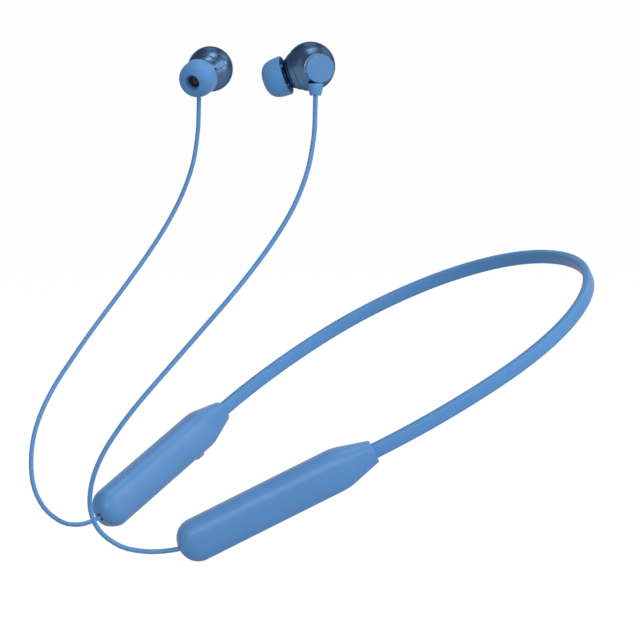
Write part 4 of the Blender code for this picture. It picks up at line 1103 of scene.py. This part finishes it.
# Studio
WORLD_STRENGTH = 0.34
FLOOR_DROP = 0.0015
FLOOR_REACH = 6
WALL_REACH = 4                    # distance and half width of the back wall
WALL_TOP = 3
SHEET_GLOW = 0.975
SHEET_SEEN = (0.05, 0.05, 0.05, 1.0)
SHEET_BOUNCE = (0.40, 0.40, 0.40, 1.0)
LIGHT_TARGET = Vector((0.0, -0.09, 0.0))
LAMPS = (                         # name, place, size and power
    ("front", (1.10, -0.57, 0.12), (1.00, 0.40), 6.8),
    ("right", (0.82, 0.70, 0.42), (0.90, 0.70), 7.0),
    ("high_right", (-0.08, 0.79, 0.74), (0.60, 0.50), 1.3),
    ("back", (-0.60, 0.20, 1.00), (0.45, 0.45), 0.9),
    ("top", (0.20, -0.10, 0.94), (0.55, 0.22), 2.2),
    ("left_strip", (0.25, -1.05, 0.25), (0.10, 0.60), 0.4),
)
SENSOR_WIDTH = 36.0
CLIP_RANGE = (0.05, 20.0)


def area_light(name, place, size, power):
    """Rectangular lamp that faces the object."""
    lamp = bpy.data.lights.new(name, "AREA")
    lamp.shape = "RECTANGLE"
    lamp.size, lamp.size_y = size
    lamp.energy = power
    holder = bpy.data.objects.new(name, lamp)
    holder.location = place
    aim = LIGHT_TARGET - Vector(place)
    holder.rotation_euler = aim.to_track_quat("-Z", "Y").to_euler()
    bpy.context.collection.objects.link(holder)


def make_backdrop(name, corners):
    """White sheet for the camera and for reflections, that still takes the object's shadow."""
    mesh = bpy.data.meshes.new(name)
    mesh.from_pydata(corners, [], [(0, 1, 2, 3)])
    sheet = bpy.data.objects.new(name, mesh)
    bpy.context.collection.objects.link(sheet)
    paint = bpy.data.materials.new(f"{name}_white")
    paint.use_nodes = True
    nodes, links = paint.node_tree.nodes, paint.node_tree.links
    nodes.clear()
    output = nodes.new("ShaderNodeOutputMaterial")
    lit = nodes.new("ShaderNodeBsdfDiffuse")
    lit.inputs["Color"].default_value = SHEET_BOUNCE
    faint = nodes.new("ShaderNodeBsdfDiffuse")
    faint.inputs["Color"].default_value = SHEET_SEEN
    glow = nodes.new("ShaderNodeEmission")
    glow.inputs["Strength"].default_value = SHEET_GLOW
    seen = nodes.new("ShaderNodeAddShader")
    path = nodes.new("ShaderNodeLightPath")
    glossy = nodes.new("ShaderNodeMath")
    glossy.operation = "MAXIMUM"
    clear = nodes.new("ShaderNodeMath")
    clear.operation = "MAXIMUM"
    mix = nodes.new("ShaderNodeMixShader")
    links.new(faint.outputs["BSDF"], seen.inputs[0])
    links.new(glow.outputs["Emission"], seen.inputs[1])
    links.new(path.outputs["Is Camera Ray"], glossy.inputs[0])
    links.new(path.outputs["Is Glossy Ray"], glossy.inputs[1])
    links.new(glossy.outputs["Value"], clear.inputs[0])
    links.new(path.outputs["Is Transmission Ray"], clear.inputs[1])
    links.new(clear.outputs["Value"], mix.inputs["Fac"])
    links.new(lit.outputs["BSDF"], mix.inputs[1])
    links.new(seen.outputs["Shader"], mix.inputs[2])
    links.new(mix.outputs["Shader"], output.inputs["Surface"])
    mesh.materials.append(paint)


def make_studio():
    """White floor and wall, the lamps and the photo's camera."""
    scene = bpy.context.scene
    scene.view_settings.view_transform = "Standard"
    world = bpy.data.worlds.new("studio")
    scene.world = world
    world.use_nodes = True
    nodes = world.node_tree.nodes
    nodes["Background"].inputs["Color"].default_value = (1.0, 1.0, 1.0, 1.0)
    nodes["Background"].inputs["Strength"].default_value = WORLD_STRENGTH

    low = cad_low.z - FLOOR_DROP
    floor = ((-FLOOR_REACH, -FLOOR_REACH), (FLOOR_REACH, -FLOOR_REACH), (FLOOR_REACH, FLOOR_REACH),
             (-FLOOR_REACH, FLOOR_REACH))
    make_backdrop("floor", [(x, y, low) for x, y in floor])
    far = Vector((CAMERA_AHEAD.x, CAMERA_AHEAD.y, 0)).normalized() * WALL_REACH
    along = Vector((CAMERA_RIGHT.x, CAMERA_RIGHT.y, 0)).normalized() * WALL_REACH
    wall = ((far - along, low), (far + along, low), (far + along, WALL_TOP), (far - along, WALL_TOP))
    make_backdrop("backdrop", [(point.x, point.y, height) for point, height in wall])

    for lamp in LAMPS:
        area_light(*lamp)

    lens = bpy.data.cameras.new("photo_camera")
    lens.sensor_width = SENSOR_WIDTH
    lens.lens = SENSOR_WIDTH * FOCAL_PIXELS / PHOTO_SIZE
    lens.clip_start, lens.clip_end = CLIP_RANGE
    camera = bpy.data.objects.new("photo_camera", lens)
    bpy.context.collection.objects.link(camera)
    right_shift, down_shift = [pixels / FOCAL_PIXELS for pixels in PIXEL_SHIFT]
    ahead = CAMERA_AHEAD - CAMERA_RIGHT * right_shift - CAMERA_DOWN * down_shift
    camera.location = CAMERA_PLACE
    camera.rotation_euler = ahead.to_track_quat("-Z", "Y").to_euler()
    scene.camera = camera


dress_inner_nodes()
for side_name, side_sign in SIDES.items():
    make_band(side_name, side_sign)
    make_bud(side_name, side_sign)
    make_cable(side_name, side_sign)
make_pods()
make_studio()
